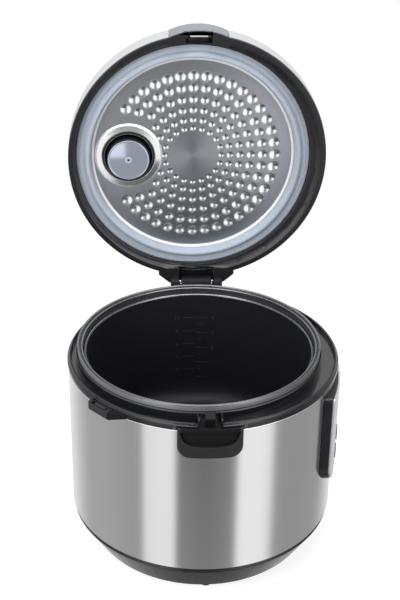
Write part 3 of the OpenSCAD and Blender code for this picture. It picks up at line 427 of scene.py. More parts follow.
POT_X = -4.3 * MM
HINGE = Vector((0, 149.5 * MM, 215 * MM))
LID_TURN = Matrix.Translation(HINGE) @ quarter("X", -1) @ Matrix.Translation(-HINGE)
VALVE_X, PLATE_Z = -75 * MM, 233.5 * MM
PLATE_CENTRE = LID_TURN @ Vector((POT_X, 0, PLATE_Z))
VALVE_CENTRE = LID_TURN @ Vector((VALVE_X, 0, PLATE_Z))


def offset_from(tree, centre):
    where = add(tree, "ShaderNodeTexCoord").outputs["Object"]
    return vector_math(tree, "MULTIPLY", vector_math(tree, "SUBTRACT", where, centre), (1, 0, 1))


def spun_lines(tree, centre=PLATE_CENTRE):
    offset = offset_from(tree, centre)
    part = parts_of(tree, offset)
    turn_of = math_node(tree, "ARCTAN2", part["Z"], part["X"])
    return vector(
        tree, math_node(tree, "MULTIPLY", vector_math(tree, "LENGTH", offset), LINES_PER_METRE),
        math_node(tree, "MULTIPLY", turn_of, PLATE_LINE_TURNS)
    )


def outwards(tree, centre=PLATE_CENTRE):
    return vector_math(tree, "NORMALIZE", offset_from(tree, centre))


def valve_lines(tree):
    return spun_lines(tree, VALVE_CENTRE)


def from_valve(tree):
    return outwards(tree, VALVE_CENTRE)


def plain_lines(tree):
    return stretched(tree, (900, 900, 900))


# %% [markdown]
# Each metal is one call. The wall, the plate and the valve's ring have a direction. On small pressed, cast
# or turned parts the scratches run every way and are too fine to tell apart, so a plain grain is enough for
# them.

# %% Metals
brushed_wall = brushed("brushed_wall", (0.6, 0.6, 0.605), 0.17, 0.97, wall_lines, 0.03, direction=upright)
spun_plate = brushed("spun_plate", (0.67, 0.7, 0.76), 0.36, 0.55, spun_lines, direction=outwards)
# The dimples' metal is smoother than the plate's, as pressed metal is, and lighter, as a painted highlight.
dimple_polish_and_painted_highlight = brushed("dimple_polish_and_painted_highlight", (0.8, 0.81, 0.85), 0.25, 0.0, plain_lines, 0.02, metallic=0.9)
spun_trim = brushed("spun_trim", (0.93, 0.93, 0.94), 0.24, 0.7, valve_lines, 0.01, 0.5, 0.85, 0.03, from_valve)
rim_metal = brushed("rim_metal", (0.25, 0.25, 0.263), 0.22, 0.0, plain_lines, 0.02, 0.5, contrast=0.03)
bright_metal = brushed("bright_metal", (0.72, 0.72, 0.73), 0.16, 0.0, plain_lines, 0.03)
# The bead's metal is near white and mostly diffuse: a painted highlight on the plate's rolled edge.
bead_painted_highlight = brushed("bead_painted_highlight", (0.93, 0.94, 0.96), 0.3, 0.0, plain_lines, 0.02, metallic=0.2)
satin_metal = brushed("satin_metal", (0.26, 0.26, 0.265), 0.36, 0.0, plain_lines, 0.02, 0.5, 0.55, 0.03)
# The edge's metal is much lighter than the wall's: a painted highlight on the wall's rolled top edge.
edge_painted_highlight = brushed("edge_painted_highlight", (0.95, 0.95, 0.96), 0.2, 0.0, plain_lines, 0.02, 0.5, contrast=0.03)
plated_steel = brushed("plated_steel", (0.58, 0.58, 0.6), 0.24, 0.0, plain_lines, 0.04)
cast_metal = brushed("cast_metal", (0.46, 0.47, 0.48), 0.42, 0.0, plain_lines, 0.08, 20)
print("metals made")

# %% [markdown]
# The rest: the pot's coating is black with faint flecks, silicone lets light in and scatters it, and the
# display window is smoked and glossy.

# %% Coating, silicone and window
non_stick, tree, shader = surface("non_stick", Specular_IOR_Level=0.22)
everywhere = stretched(tree, (1, 1, 1))
fleck = add(tree, "ShaderNodeTexVoronoi", {"Vector": everywhere, "Scale": 900}).outputs["Distance"]
cloud = noise(tree, everywhere, 12)
tree.links.new(
    shade(tree, between(tree, fleck, 1.0, 0.0, 0.05, 0.22), (0.0112, 0.0115, 0.0135), (0.026, 0.026, 0.028)),
    shader.inputs["Base Color"]
)
tree.links.new(between(tree, cloud, 0.36, 0.46), shader.inputs["Roughness"])
relief(tree, shader, noise(tree, everywhere, 2200, 2.0), 10)

grey_silicone, tree, shader = surface(
    "grey_silicone", Subsurface_Weight=0.35, Subsurface_Scale=0.002, Specular_IOR_Level=0.45, Coat_Weight=0.1
)
shader.inputs["Subsurface Radius"].default_value = (1.0, 1.1, 1.3)
everywhere = stretched(tree, (1, 1, 1))
cloud = noise(tree, everywhere, 22)
tree.links.new(shade(tree, cloud, (0.375, 0.42, 0.495), (0.435, 0.48, 0.56)), shader.inputs["Base Color"])
tree.links.new(between(tree, cloud, 0.30, 0.42), shader.inputs["Roughness"])
relief(tree, shader, noise(tree, everywhere, 1500, 2.0), 15)

valve_skin = metal_paint("valve_skin", (0.41, 0.45, 0.54), (0.45, 0.49, 0.58), 0.5, 0.03, 0.05, 0.1)
bar_nickel = metal_paint("bar_nickel", (0.78, 0.78, 0.79), (0.86, 0.86, 0.87), 0.7, 0.40, 0.48)
# The next finish is dark: on the collar it is painted shade in the grooves, and also the dark of its inner side
# and its foot.
collar_dark_and_painted_shade = moulded("collar_dark_and_painted_shade", (0.026, 0.026, 0.029), (0.034, 0.034, 0.037), 0.3, 0.4, 900, 4, 0.4)
smoked_window = moulded("smoked_window", (0.006, 0.006, 0.007), (0.008, 0.008, 0.009), 0.06, 0.1, 300, 1)
print("coating, silicone and window made")

# %% [markdown]
# The record names a material slot for every solid. Most solids take the finish of their slot, and a few
# have their own.

# %% Give each solid its finish
FINISH_OF_SLOT = {
    "black_plastic": black_satin, "dark_plastic": dark_grain, "rubber": foot_rubber,
    "brushed_steel": bright_metal, "plain_steel": plated_steel, "aluminium": cast_metal,
    "non_stick": non_stick, "silver_plastic": silver_plastic, "silicone": grey_silicone,
    "display_glass": smoked_window, "circuit_board": circuit_green
}
SLOT = {part["node"]: part["material_slot"] for part in frame["record"]["subparts"]}
OWN_FINISH = {
    "steel_shell": brushed_wall, "collar_ring": satin_metal, "inner_plate": spun_plate, "top_ring": black_ring,
    "lid_frame": black_lid, "lid_top": black_lid, "heating_element": cast_metal, "latch_button": nose_silver,
    "latch_bar": bar_nickel, "hinge_bracket": black_and_painted_shade, "lid_catch": black_and_painted_shade
}


def finish_of(node):
    return OWN_FINISH.get(node, FINISH_OF_SLOT[SLOT[node]])


for name, solid in nodes.items():
    solid.data.materials.clear()
    solid.data.materials.append(finish_of(name))
print(len(nodes), "solids finished")

# %% [markdown]
# ## Soft edges
#
# No moulded or pressed edge is sharp: it catches a thin line of light. The solids have sharp edges, so most
# of them are replaced by a copy. Its triangles are merged, flat faces are joined into one, every outer edge
# sharper than 32 degrees gets a small bevel, and weighted normals keep the flat faces flat. Inner corners
# stay sharp, because a bevel there adds material, and could close a gap that a moving part needs. Where one
# face has two finishes, a plane cuts it first.


# %% From a mesh to a piece
BODY = {node: body for body, names in frame["record"]["behaviour"]["bodies"].items() for node in names}
SMOOTH, SHARP, FLAT = (math.radians(angle) for angle in (40, 32, 0.5))
WELD = 0.002 * MM


def piece_from(name, mesh, finish, body, slot, *stands_for):
    mesh.materials.clear()
    mesh.materials.append(finish)
    mesh.polygons.foreach_set("use_smooth", [True] * len(mesh.polygons))
    mesh.set_sharp_from_angle(angle=SMOOTH)
    rough = bpy.data.objects.new("rough", mesh)
    bpy.context.scene.collection.objects.link(rough)
    even = rough.modifiers.new("even_shading", "WEIGHTED_NORMAL")
    even.keep_sharp = True
    made = bpy.data.meshes.new_from_object(rough.evaluated_get(bpy.context.evaluated_depsgraph_get()))
    bpy.data.objects.remove(rough)
    made.name = name
    piece = bpy.data.objects.new(name, made)
    bpy.context.scene.collection.objects.link(piece)
    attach(piece, body)
    if stands_for:
        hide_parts(*stands_for)
    return piece


def second_finish(piece, finish, chosen):
    index = len(piece.data.materials)
    piece.data.materials.append(finish)
    for face in piece.data.polygons:
        if chosen(face.center / MM):
            face.material_index = index


# %% [markdown]
# A flat ring can't be one face, because a face has no hole. So the large rings are first cut into sectors
# by planes through their axis, and the cuts are marked as seams, which the joining of flat faces then
# leaves alone.

# %% Cutting and merging
SECTOR_COUNT = 12
BODY_SECTORS = (Vector((POT_X, 0, 0)), "Z", Vector((1, 0, 0)))
LID_SECTORS = (PLATE_CENTRE, "Y", Vector((1, 0, 0)))
SECTORS = {
    "top_ring": BODY_SECTORS, "base_tub": BODY_SECTORS, "heater_plate": BODY_SECTORS, "lid_frame": LID_SECTORS,
    "lid_band": LID_SECTORS, "lid_top": LID_SECTORS
}


def to_mesh(shape):
    mesh = bpy.data.meshes.new("shape")
    shape.to_mesh(mesh)
    shape.free()
    return mesh


def cut_by(shape, at, facing):
    whole = [*shape.verts, *shape.edges, *shape.faces]
    return bmesh.ops.bisect_plane(shape, geom=whole, plane_co=at, plane_no=facing, dist=1e-7)["geom_cut"]


def merged(node):
    shape = bmesh.new()
    shape.from_mesh(nodes[node].data)
    bmesh.ops.remove_doubles(shape, verts=shape.verts, dist=WELD)
    if node in SECTORS:
        centre, axis, across = SECTORS[node]
        for index in range(SECTOR_COUNT):
            facing = Matrix.Rotation(math.pi * (index + 0.5) / SECTOR_COUNT, 3, axis) @ across
            for part in cut_by(shape, centre, facing):
                if isinstance(part, bmesh.types.BMEdge):
                    part.seam = True
    bmesh.ops.dissolve_limit(
        shape, angle_limit=FLAT, verts=shape.verts, edges=shape.edges, delimit={"SEAM"}
    )
    return shape


# %% Easing the edges
BEVEL_STEPS = 2


def eased(node, width, cuts):
    shape = merged(node)
    area = sum(face.calc_area() for face in shape.faces)
    sharp = [
        edge for edge in shape.edges
        if len(edge.link_faces) == 2 and edge.is_convex and edge.calc_face_angle() > SHARP
    ]
    bmesh.ops.bevel(
        shape, geom=sharp, offset=width * MM, offset_type="OFFSET", segments=BEVEL_STEPS, profile=0.5,
        affect="EDGES", clamp_overlap=False
    )
    for at, facing in cuts:
        cut_by(shape, Vector(at) * MM, facing)
    mesh = to_mesh(shape)
    print(node, "area after / before:", round(sum(face.area for face in mesh.polygons) / area, 3))
    return piece_from("soft_" + node, mesh, finish_of(node), BODY[node], SLOT[node], node)


# %% [markdown]
# The width of a bevel follows the real part: thin trim has an edge of 0.2 to 0.4 mm, thick mouldings and
# rubber up to 0.8 mm. All copies are made by one loop over a table of widths, so that an edge is changed in
# one place.

# %% Copies with soft edges
BUTTONS = ["start_button", "cancel_button", "menu_button", "timer_button", "plus_button", "minus_button"]
EDGE = {
    "top_ring": 0.2, "lid_frame": 0.5, "lid_band": 0.35, "lid_top": 0.6, "latch_button": 0.5,
    "front_scoop": 0.7, "lid_catch": 0.4, "spoon_bracket": 0.3, "base_tub": 0.4, "control_housing": 0.35,
    "control_fascia": 0.5, "display_window": 0.35, "hinge_bracket": 0.5, "valve_well": 0.35, "valve_cup": 0.6,
    "steam_cap": 0.7, "power_inlet": 0.5, "rubber_feet": 0.8, "heater_plate": 0.6, "sensor_cap": 0.6,
    "latch_bar": 0.35, "hinge_pin": 0.4, **dict.fromkeys(BUTTONS, 0.5)
}
SPOON_TURN = Matrix.Rotation(math.radians(-47.2), 3, "Z")
SCOOP_TOP, SCOOP_SIDE, SPOON_END = 206.9, 28.4, 14.5
CUTS = {
    "front_scoop": [
        ((0, 0, SCOOP_TOP), (0, 0, 1)), ((SCOOP_SIDE, 0, 0), (1, 0, 0)), ((-SCOOP_SIDE, 0, 0), (1, 0, 0))
    ],
    "spoon_bracket": [(SPOON_TURN @ Vector((SPOON_END, 0, 0)), SPOON_TURN @ Vector((1, 0, 0)))]
}
soft = {node: eased(node, width, CUTS.get(node, ())) for node, width in EDGE.items()}
print(len(soft), "copies with soft edges,", sum(len(piece.data.polygons) for piece in soft.values()), "faces")

# %% [markdown]
# Some faces of a copy get a second, darker finish, and each is painted shade: the ring's glossy skirt, and
# the notch in it, the hollows of the scoop and the spoon holder, the bar's root, and what lies in shade at the
# hinge and in the latch's socket.

# %% Second finishes on the copies
SKIRT_R, HOLLOW_R, BAR_ROOT = 139.6, 140.6, 153.4
NOTCH_SIDE, NOTCH_FRONT, NOTCH_BACK, NOTCH_TOP = 9.2, -138.5, -120, 219.2
GAP_SIDE, GAP_TOP, GAP_BACK = 19.6, 240, 163.2
KNUCKLE_SIDE, KNUCKLE_TOP = 45, 224.5
SOCKET_SIDE, SOCKET_LOW, SOCKET_HIGH = 16, 494, 496


def from_axis(at):
    return math.hypot(at.x, at.y)


# Painted shade: a darker black on the skirt, the notch, the bar's root and the faces at the hinge and in the
# socket, and a darker grain in the hollows.
second_finish(soft["top_ring"], glossy_skirt_painted_shade, lambda at: from_axis(at) > SKIRT_R)
second_finish(soft["top_ring"], black_and_painted_shade, lambda at: (
    abs(at.x) < NOTCH_SIDE and NOTCH_FRONT < at.y < NOTCH_BACK and at.z < NOTCH_TOP
))
second_finish(soft["front_scoop"], hollow_painted_shade, lambda at: (
    from_axis(at) < HOLLOW_R or (at.z > SCOOP_TOP and abs(at.x) < SCOOP_SIDE)
))
second_finish(soft["spoon_bracket"], hollow_painted_shade, lambda at: (SPOON_TURN.transposed() @ at).x > SPOON_END)
second_finish(soft["latch_bar"], black_and_painted_shade, lambda at: at.y > BAR_ROOT)
second_finish(soft["lid_band"], black_and_painted_shade, lambda at: (
    abs(at.x) < GAP_SIDE and at.z < GAP_TOP and at.y < GAP_BACK
))
second_finish(soft["lid_frame"], black_and_painted_shade, lambda at: (
    (at.z < KNUCKLE_TOP and abs(at.x) < KNUCKLE_SIDE)
    or (SOCKET_LOW < at.z < SOCKET_HIGH and abs(at.x) < SOCKET_SIDE)
))
print("copies with a second finish:", sum(len(piece.data.materials) > 1 for piece in soft.values()))

# %% [markdown]
# ## Turned pieces
#
# The pot, the collar, the seal and the valve's rings are round about one axis. Each is a profile of
# corners, with its own rounding at each corner, turned round its axis. The lid's profiles are drawn closed
# and swung open with the lid.


# %% A profile and a lathe
def rounded(corners, steps=4):
    points = []
    for index, (r, z, rounding) in enumerate(corners):
        here = Vector((r, z))
        before = Vector(corners[index - 1][:2]) - here
        after = Vector(corners[(index + 1) % len(corners)][:2]) - here
        if not rounding:
            points.append(here)
            continue
        reach = rounding / math.tan(before.angle(after) / 2)
        reach = min(reach, 0.48 * before.length, 0.48 * after.length)
        start, end = here + before.normalized() * reach, here + after.normalized() * reach
        for step in range(steps + 1):
            t = step / steps
            points.append((1 - t) ** 2 * start + 2 * t * (1 - t) * here + t * t * end)
    return points


def circle_of(sides):
    return [(math.cos(2 * math.pi * k / sides), math.sin(2 * math.pi * k / sides)) for k in range(sides)]


def lathe(profile, axis_x, turn=Matrix(), sides=144):
    shape = bmesh.new()
    circle = circle_of(sides)
    rings = []
    for r, z in profile:
        around = circle if r > 0 else circle[:1]
        ring = [shape.verts.new((axis_x + r * MM * x, r * MM * y, z * MM)) for x, y in around]
        rings.append(ring * (sides // len(around)))
    for ring, following in zip(rings, rings[1:] + rings[:1]):
        for k in range(sides):
            corners = dict.fromkeys((ring[k - 1], ring[k], following[k], following[k - 1]))
            if len(corners) > 2:
                shape.faces.new(corners)
    bmesh.ops.recalc_face_normals(shape, faces=shape.faces)
    shape.transform(turn)
    return to_mesh(shape)


# %% [markdown]
# The pot is pressed from sheet: its wall flows into the floor with a large curve and rolls out into a
# flange with a round edge, which lies just under the collar. The flange is bare dark metal, without the
# coating.

# %% Pot
POT_PROFILE = rounded([
    (0, 80.9, 0), (117.4, 80.9, 27.8), (117.4, 214.6, 1.0), (117.8, 216.0, 0.6), (118.8, 216.8, 0.4),
    (118.8, 218.9, 0.5), (117.7, 219.1, 0.5), (117.1, 218.6, 0.3), (116.6, 218.6, 0.3), (116.0, 219.0, 0.4),
    (115.6, 218.2, 0.5), (115.6, 83.9, 26), (0, 83.9, 0)
], 8)
pot = piece_from("pot_shell", lathe(POT_PROFILE, POT_X, sides=180), non_stick, "pot", "non_stick", "inner_pot")
FLANGE_LOW = 217.6
second_finish(pot, rim_metal, lambda at: at.z > FLANGE_LOW)
print("pot:", len(pot.data.polygons), "faces")

# %% [markdown]
# The collar is a rolled metal ring. Its outer edge is a polished bead that catches a thin bright line.
# Inside it, past a groove painted dark as painted shade, lies a second bead next to the pot, and below that
# bead the inner side is dark. Outside, a satin wall falls past a second groove, also painted dark as painted
# shade, to a thin bead, and is dark below that.

# %% Collar
COLLAR_PROFILE = rounded([
    (125.2, 210.6, 0), (125.2, 218.1, 0.1), (125.5, 218.5, 0.15), (125.5, 219.1, 0.15), (125.1, 219.5, 0.1),
    (124.6, 220.2, 0.15), (124.7, 221.0, 0.2), (125.0, 221.5, 0.2), (125.0, 225.2, 0.2), (124.8, 225.8, 0.1),
    (125.2, 226.3, 0.2), (125.2, 227.0, 0.35), (124.6, 227.2, 0.4), (123.2, 226.7, 0.5), (122.7, 225.3, 0.3),
    (121.6, 224.9, 0.3), (121.1, 225.5, 0.3), (120.3, 225.7, 0.3), (119.6, 225.3, 0.3), (119.4, 224.4, 0.3),
    (119.4, 214.0, 0.3), (118.4, 214.0, 0.2), (118.4, 213.1, 0.2), (120.3, 213.1, 0), (120.3, 223.6, 0.3),
    (123.6, 224.4, 0.3), (124.0, 223.6, 0.2), (124.0, 210.6, 0)
])
collar_mesh = lathe(COLLAR_PROFILE, POT_X, sides=180)
collar = piece_from("collar_roll", collar_mesh, satin_metal, "body", "brushed_steel", "collar_ring")


def collar_part(inner, outer, low, high):
    return lambda at: inner < math.hypot(at.x - POT_X / MM, at.y) < outer and low < at.z < high


# The dark bands in the two grooves are painted shade; the inner side and the foot are dark as well.
COLLAR_PARTS = [
    (collar_dark_and_painted_shade, 118.0, 120.35, 210.0, 224.6), (rim_metal, 119.3, 121.35, 224.6, 226.0),
    (collar_dark_and_painted_shade, 121.35, 123.0, 224.6, 226.0), (rim_metal, 123.0, 126.0, 226.0, 228.0),
    (collar_dark_and_painted_shade, 124.3, 126.0, 219.7, 220.8), (rim_metal, 124.3, 126.0, 218.2, 219.4),
    (collar_dark_and_painted_shade, 124.3, 126.0, 210.0, 218.2)
]
for finish, *limits in COLLAR_PARTS:
    second_finish(collar, finish, collar_part(*limits))
print("collar:", len(collar.data.polygons), "faces")

# %% [markdown]
# The seal is one silicone ring: a flat face that lies on the collar, a crease, and a soft lip that bulges
# towards the pot and tucks under the plate's edge. Inside it the plate's edge is rolled to a bead, painted
# near white as a painted highlight.

# %% Seal
SEAL_PROFILE = rounded([
    (127.4, 231.0, 0), (127.4, 227.9, 0.9), (124.6, 227.9, 0.5), (124.2, 228.5, 0.3), (123.6, 227.9, 0.5),
    (119.6, 227.9, 0.6), (118.4, 224.6, 1.2), (116.2, 222.5, 1.6), (113.4, 222.5, 1.6), (111.6, 230.9, 1.2),
    (111.3, 232.7, 0.3), (111.7, 233.4, 0.2), (113.9, 233.4, 0), (113.9, 231.0, 0)
], 5)
seal_mesh = lathe(SEAL_PROFILE, POT_X, LID_TURN, 180)
seal = piece_from("seal_lip", seal_mesh, grey_silicone, "lid", "silicone", "lid_seal")
BEAD_PROFILE = rounded([(108.4, 233.5, 0), (108.4, 231.6, 1.3), (111.2, 231.6, 1.3), (111.2, 233.5, 0)], 4)
bead_mesh = lathe(BEAD_PROFILE, POT_X, LID_TURN, 180)
piece_from("plate_bead", bead_mesh, bead_painted_highlight, "lid", "aluminium")
print("seal:", len(seal.data.polygons), "faces")

# %% [markdown]
# Round the steam valve sits a bright pressed ring. The valve's cup ends in a silicone disc with a raised
# rim and a small hole in its middle.

# %% Valve ring and disc
LIP_EDGE_R, DISC_HOLE_R = 26.6, 3.8


def from_valve_axis(at):
    return math.hypot(at.x - VALVE_X / MM, at.z - VALVE_CENTRE.z / MM)


TRIM_PROFILE = rounded([
    (28.6, 233.5, 0), (28.6, 230.4, 0.4), (29.6, 230.2, 0.5), (35.0, 231.6, 1.5), (37.0, 233.2, 0.5),
    (37.0, 233.5, 0)
], 5)
trim_mesh = lathe(TRIM_PROFILE, VALVE_X, LID_TURN)
piece_from("valve_ring", trim_mesh, spun_trim, "lid", "brushed_steel", "valve_trim")
LIP_PROFILE = rounded([
    (26.1, 230.8, 0), (26.1, 229.4, 0.3), (26.7, 229.4, 0.3), (27.0, 230.3, 0.2), (28.0, 230.3, 0.3),
    (28.0, 230.8, 0)
], 4)
lip = piece_from("valve_lip", lathe(LIP_PROFILE, VALVE_X, LID_TURN), black_ring, "lid", "black_plastic")
second_finish(lip, satin_metal, lambda at: from_valve_axis(at) < LIP_EDGE_R)
DISC_PROFILE = rounded([
    (22.4, 220.7, 0), (22.4, 219.5, 0.5), (21.6, 219.2, 0.4), (20.9, 219.5, 0.3), (3.7, 219.5, 0.2),
    (3.4, 218.9, 0.2), (1.6, 218.9, 0.2), (1.2, 219.4, 0.2), (1.2, 220.7, 0)
])
disc_mesh = lathe(DISC_PROFILE, VALVE_X, LID_TURN, 96)
disc = piece_from("valve_pad", disc_mesh, valve_skin, "steam_valve", "silicone", "valve_disc")
second_finish(disc, grey_silicone, lambda at: from_valve_axis(at) < DISC_HOLE_R)
print("valve ring and pad made")

# %% [markdown]
# ## Dimples in the plate
#
# The plate has six rings of pressed dimples, so that drops fall back into the pot. They repeat by a rule,
# which is work for Geometry Nodes. A first recipe puts the places of one ring on a circle and deletes those
# under the valve's ring. A second one takes all the places: it fills the plate's outline round a hole for
# each dimple, and sets a bowl into each hole. The bowl starts as a cone and gets its depth from (1 - r
# squared) to a power, which is round in the middle and runs out flat at the edge. The welded sheet is
# thickened at the end.


# %% Helpers for Geometry Nodes
def recipe(name, **inputs):
    tree = bpy.data.node_groups.new(name, "GeometryNodeTree")
    for title, kind in inputs.items():
        tree.interface.new_socket(title, in_out="INPUT", socket_type="NodeSocket" + kind)
    tree.interface.new_socket("Geometry", in_out="OUTPUT", socket_type="NodeSocketGeometry")
    return tree, add(tree, "NodeGroupInput").outputs


def realized(tree, geometry):
    return add(tree, "GeometryNodeRealizeInstances", {"Geometry": geometry}).outputs[0]


def close_recipe(tree, geometry, finish):
    whole = realized(tree, geometry)
    painted = add(tree, "GeometryNodeSetMaterial", {"Geometry": whole, "Material": finish}).outputs[0]
    add(tree, "NodeGroupOutput", {"Geometry": painted})
    print("recipe", tree.name, "has", len(tree.nodes), "nodes")


def made_by(tree, mesh=None, **values):
    holder = bpy.data.objects.new("holder", mesh or bpy.data.meshes.new("holder"))
    bpy.context.scene.collection.objects.link(holder)
    maker = holder.modifiers.new("recipe", "NODES")
    maker.node_group = tree
    for socket in tree.interface.items_tree:
        if socket.in_out == "INPUT" and socket.name in values:
            maker[socket.identifier] = values[socket.name]
    made = bpy.data.meshes.new_from_object(holder.evaluated_get(bpy.context.evaluated_depsgraph_get()))
    bpy.data.objects.remove(holder)
    return made


def joined(meshes):
    shape = bmesh.new()
    for mesh in meshes:
        shape.from_mesh(mesh)
    return to_mesh(shape)


# %% [markdown]
# Some steps come back in several recipes: a round outline, one thing put on many points, a move, and parts
# put together.


# %% Steps of the recipes
def round_outline(tree, sides, radius):
    return add(tree, "GeometryNodeCurvePrimitiveCircle", {"Resolution": sides, "Radius": radius}).outputs[0]


def on_points(tree, points, thing, scale=(1, 1, 1)):
    return add(tree, "GeometryNodeInstanceOnPoints", {
        "Points": points, "Instance": thing, "Scale": scale
    }).outputs[0]


def shifted(tree, geometry, by):
    return add(tree, "GeometryNodeTransform", {"Geometry": geometry, "Translation": by}).outputs[0]


def put_together(tree, *parts):
    whole = add(tree, "GeometryNodeJoinGeometry")
    for part in parts:
        tree.links.new(part, whole.inputs[0])
    return whole.outputs[0]


def flat_position(tree):
    return vector_math(tree, "MULTIPLY", add(tree, "GeometryNodeInputPosition").outputs[0], (1, 1, 0))


def placed(tree, geometry, at):
    return add(tree, "GeometryNodeSetPosition", {"Geometry": geometry, "Position": at}).outputs[0]


# %% Recipe for the places of one ring
dimple_ring, given = recipe(
    "dimple_ring", Ring="Float", Count="Int", Size="Float", Valve="Vector", Clear="Float"
)
circle = add(dimple_ring, "GeometryNodeMeshCircle", {
    "Vertices": given["Count"], "Radius": given["Ring"]
}).outputs[0]
spot = add(dimple_ring, "GeometryNodeInputPosition").outputs[0]
to_valve = vector_math(dimple_ring, "DISTANCE", spot, given["Valve"])
apart = math_node(dimple_ring, "ADD", given["Clear"], given["Size"])
near = add(dimple_ring, "FunctionNodeCompare", {0: to_valve, 1: apart}, operation="LESS_THAN").outputs[0]
places = add(dimple_ring, "GeometryNodeDeleteGeometry", {"Geometry": circle, "Selection": near}).outputs[0]
sized = add(dimple_ring, "GeometryNodeStoreNamedAttribute", {
    "Geometry": places, "Name": "size", "Value": given["Size"]
}).outputs[0]
close_recipe(dimple_ring, sized, spun_plate)

# %% Recipe for the dimpled plate
DIMPLE_SIDES, DIMPLE_RINGS, RIM_SIDES, HOLE_SIDES = 24, 5, 180, 96
PLATE_WELD = 0.01 * MM
dimpled, given = recipe(
    "dimpled_plate", Places="Geometry", Rim="Float", Valve="Vector", Hole="Float", Depth="Float", Power="Float"
)
size = add(dimpled, "GeometryNodeInputNamedAttribute", {"Name": "size"}).outputs["Attribute"]
brims = on_points(dimpled, given["Places"], round_outline(dimpled, DIMPLE_SIDES, 1.0), size)
rim = round_outline(dimpled, RIM_SIDES, given["Rim"])
hole = shifted(dimpled, round_outline(dimpled, HOLE_SIDES, given["Hole"]), given["Valve"])
outline = put_together(dimpled, hole, rim, realized(dimpled, brims))
sheet = add(dimpled, "GeometryNodeFillCurve", {0: outline}).outputs[0]
cone = add(dimpled, "GeometryNodeMeshCone", {
    "Vertices": DIMPLE_SIDES, "Side Segments": DIMPLE_RINGS, "Radius Bottom": 1.0, "Depth": 1.0
}, fill_type="NONE").outputs["Mesh"]
flat = flat_position(dimpled)
reach = vector_math(dimpled, "LENGTH", flat)
inside = math_node(dimpled, "SUBTRACT", 1.0, math_node(dimpled, "MULTIPLY", reach, reach))
inside = math_node(dimpled, "MAXIMUM", inside, 0.0)
sink = math_node(dimpled, "MULTIPLY", math_node(dimpled, "POWER", inside, given["Power"]), given["Depth"])
lowered = vector(dimpled, z=math_node(dimpled, "MULTIPLY", sink, -1.0))
bowl = placed(dimpled, cone, vector_math(dimpled, "ADD", flat, lowered))
bowls = on_points(dimpled, given["Places"], bowl, size)
welded = add(dimpled, "GeometryNodeMergeByDistance", {
    "Geometry": put_together(dimpled, sheet, realized(dimpled, bowls)), "Distance": PLATE_WELD
}).outputs[0]
close_recipe(dimpled, welded, spun_plate)

# %% [markdown]
# Now both recipes are used. Each ring has its own radius, count and size of dimple. The sheet is made flat
# in its own place, welded and thickened there, and then turned into the open lid, which is simpler than
# building it upright.

# %% The plate
RINGS = [(31.2, 20, 3.4), (40.9, 24, 4.0), (51.9, 28, 4.5), (63.8, 32, 5.0), (76.7, 36, 5.7), (90.1, 40, 6.6)]
DEPTH_SHARE, BOWL_POWER, BOWL_FROM, VALVE_RING = 0.27, 1.9, 0.02, 36.0
PLATE_R, PLATE_HOLE, PLATE_T = 113.3, 28.6, 0.9
TO_PLATE = LID_TURN @ Matrix.Translation((POT_X, 0, PLATE_Z)) @ quarter("X", 2)
VALVE_ON_PLATE = (VALVE_X - POT_X, 0, 0)
places = joined([
    made_by(
        dimple_ring, Ring=radius * MM, Count=count, Size=size * MM, Valve=VALVE_ON_PLATE, Clear=VALVE_RING * MM
    )
    for radius, count, size in RINGS
])
sheet = made_by(
    dimpled, places, Rim=PLATE_R * MM, Valve=VALVE_ON_PLATE, Hole=PLATE_HOLE * MM, Depth=DEPTH_SHARE,
    Power=BOWL_POWER
)
shape = bmesh.new()
shape.from_mesh(sheet)
bmesh.ops.recalc_face_normals(shape, faces=shape.faces)
shape.normal_update()
if shape.faces[0].normal.z < 0:
    bmesh.ops.reverse_faces(shape, faces=shape.faces)
open_edges = sum(edge.is_boundary for edge in shape.edges)
bmesh.ops.solidify(shape, geom=shape.faces[:], thickness=PLATE_T * MM)
shape.transform(TO_PLATE)
plate = piece_from("dimpled_plate", to_mesh(shape), spun_plate, "lid", "aluminium", "inner_plate")
# The dimples take the lighter, smoother metal: smoother as pressed metal is, lighter as a painted highlight.
second_finish(plate, dimple_polish_and_painted_highlight, lambda at: at.y > PLATE_CENTRE.y / MM + BOWL_FROM)
print(len(places.vertices), "dimples,", open_edges, "edges on the rim and the hole")

# %% [markdown]
# ## Springs
#
# The three springs are wire wound on a helix, with one dead turn at each end that lies nearly flat. A
# spiral curve gives the winding, its height is set again along its length, and a small circle swept along
# it gives the wire.

# %% Recipe for a spring
TURN_STEPS, WIRE_SIDES, DEAD_RISE = 40, 10, 5.0
spring, given = recipe("spring", Turns="Float", Radius="Float", Length="Float", Wire="Float", Dead="Float")
wind = add(spring, "GeometryNodeCurveSpiral", {
    "Resolution": TURN_STEPS, "Rotations": given["Turns"], "Start Radius": given["Radius"],
    "End Radius": given["Radius"], "Height": given["Length"]
}).outputs[0]
along = add(spring, "GeometryNodeSplineParameter").outputs["Factor"]
dead = math_node(spring, "DIVIDE", given["Dead"], given["Turns"])
rise = between(spring, along, 0, 1, dead, math_node(spring, "SUBTRACT", 1.0, dead))
dead_rise = math_node(spring, "MULTIPLY", given["Wire"], DEAD_RISE)
live = math_node(spring, "MULTIPLY", rise, math_node(spring, "SUBTRACT", given["Length"], dead_rise))
creep = math_node(spring, "MULTIPLY", along, dead_rise)
lifted = vector(spring, z=math_node(spring, "ADD", live, creep))
wound = placed(spring, wind, vector_math(spring, "ADD", flat_position(spring), lifted))
swept = add(spring, "GeometryNodeCurveToMesh", {
    "Curve": wound, "Profile Curve": round_outline(spring, WIRE_SIDES, given["Wire"]), "Fill Caps": True
}).outputs[0]
close_recipe(spring, swept, plated_steel)

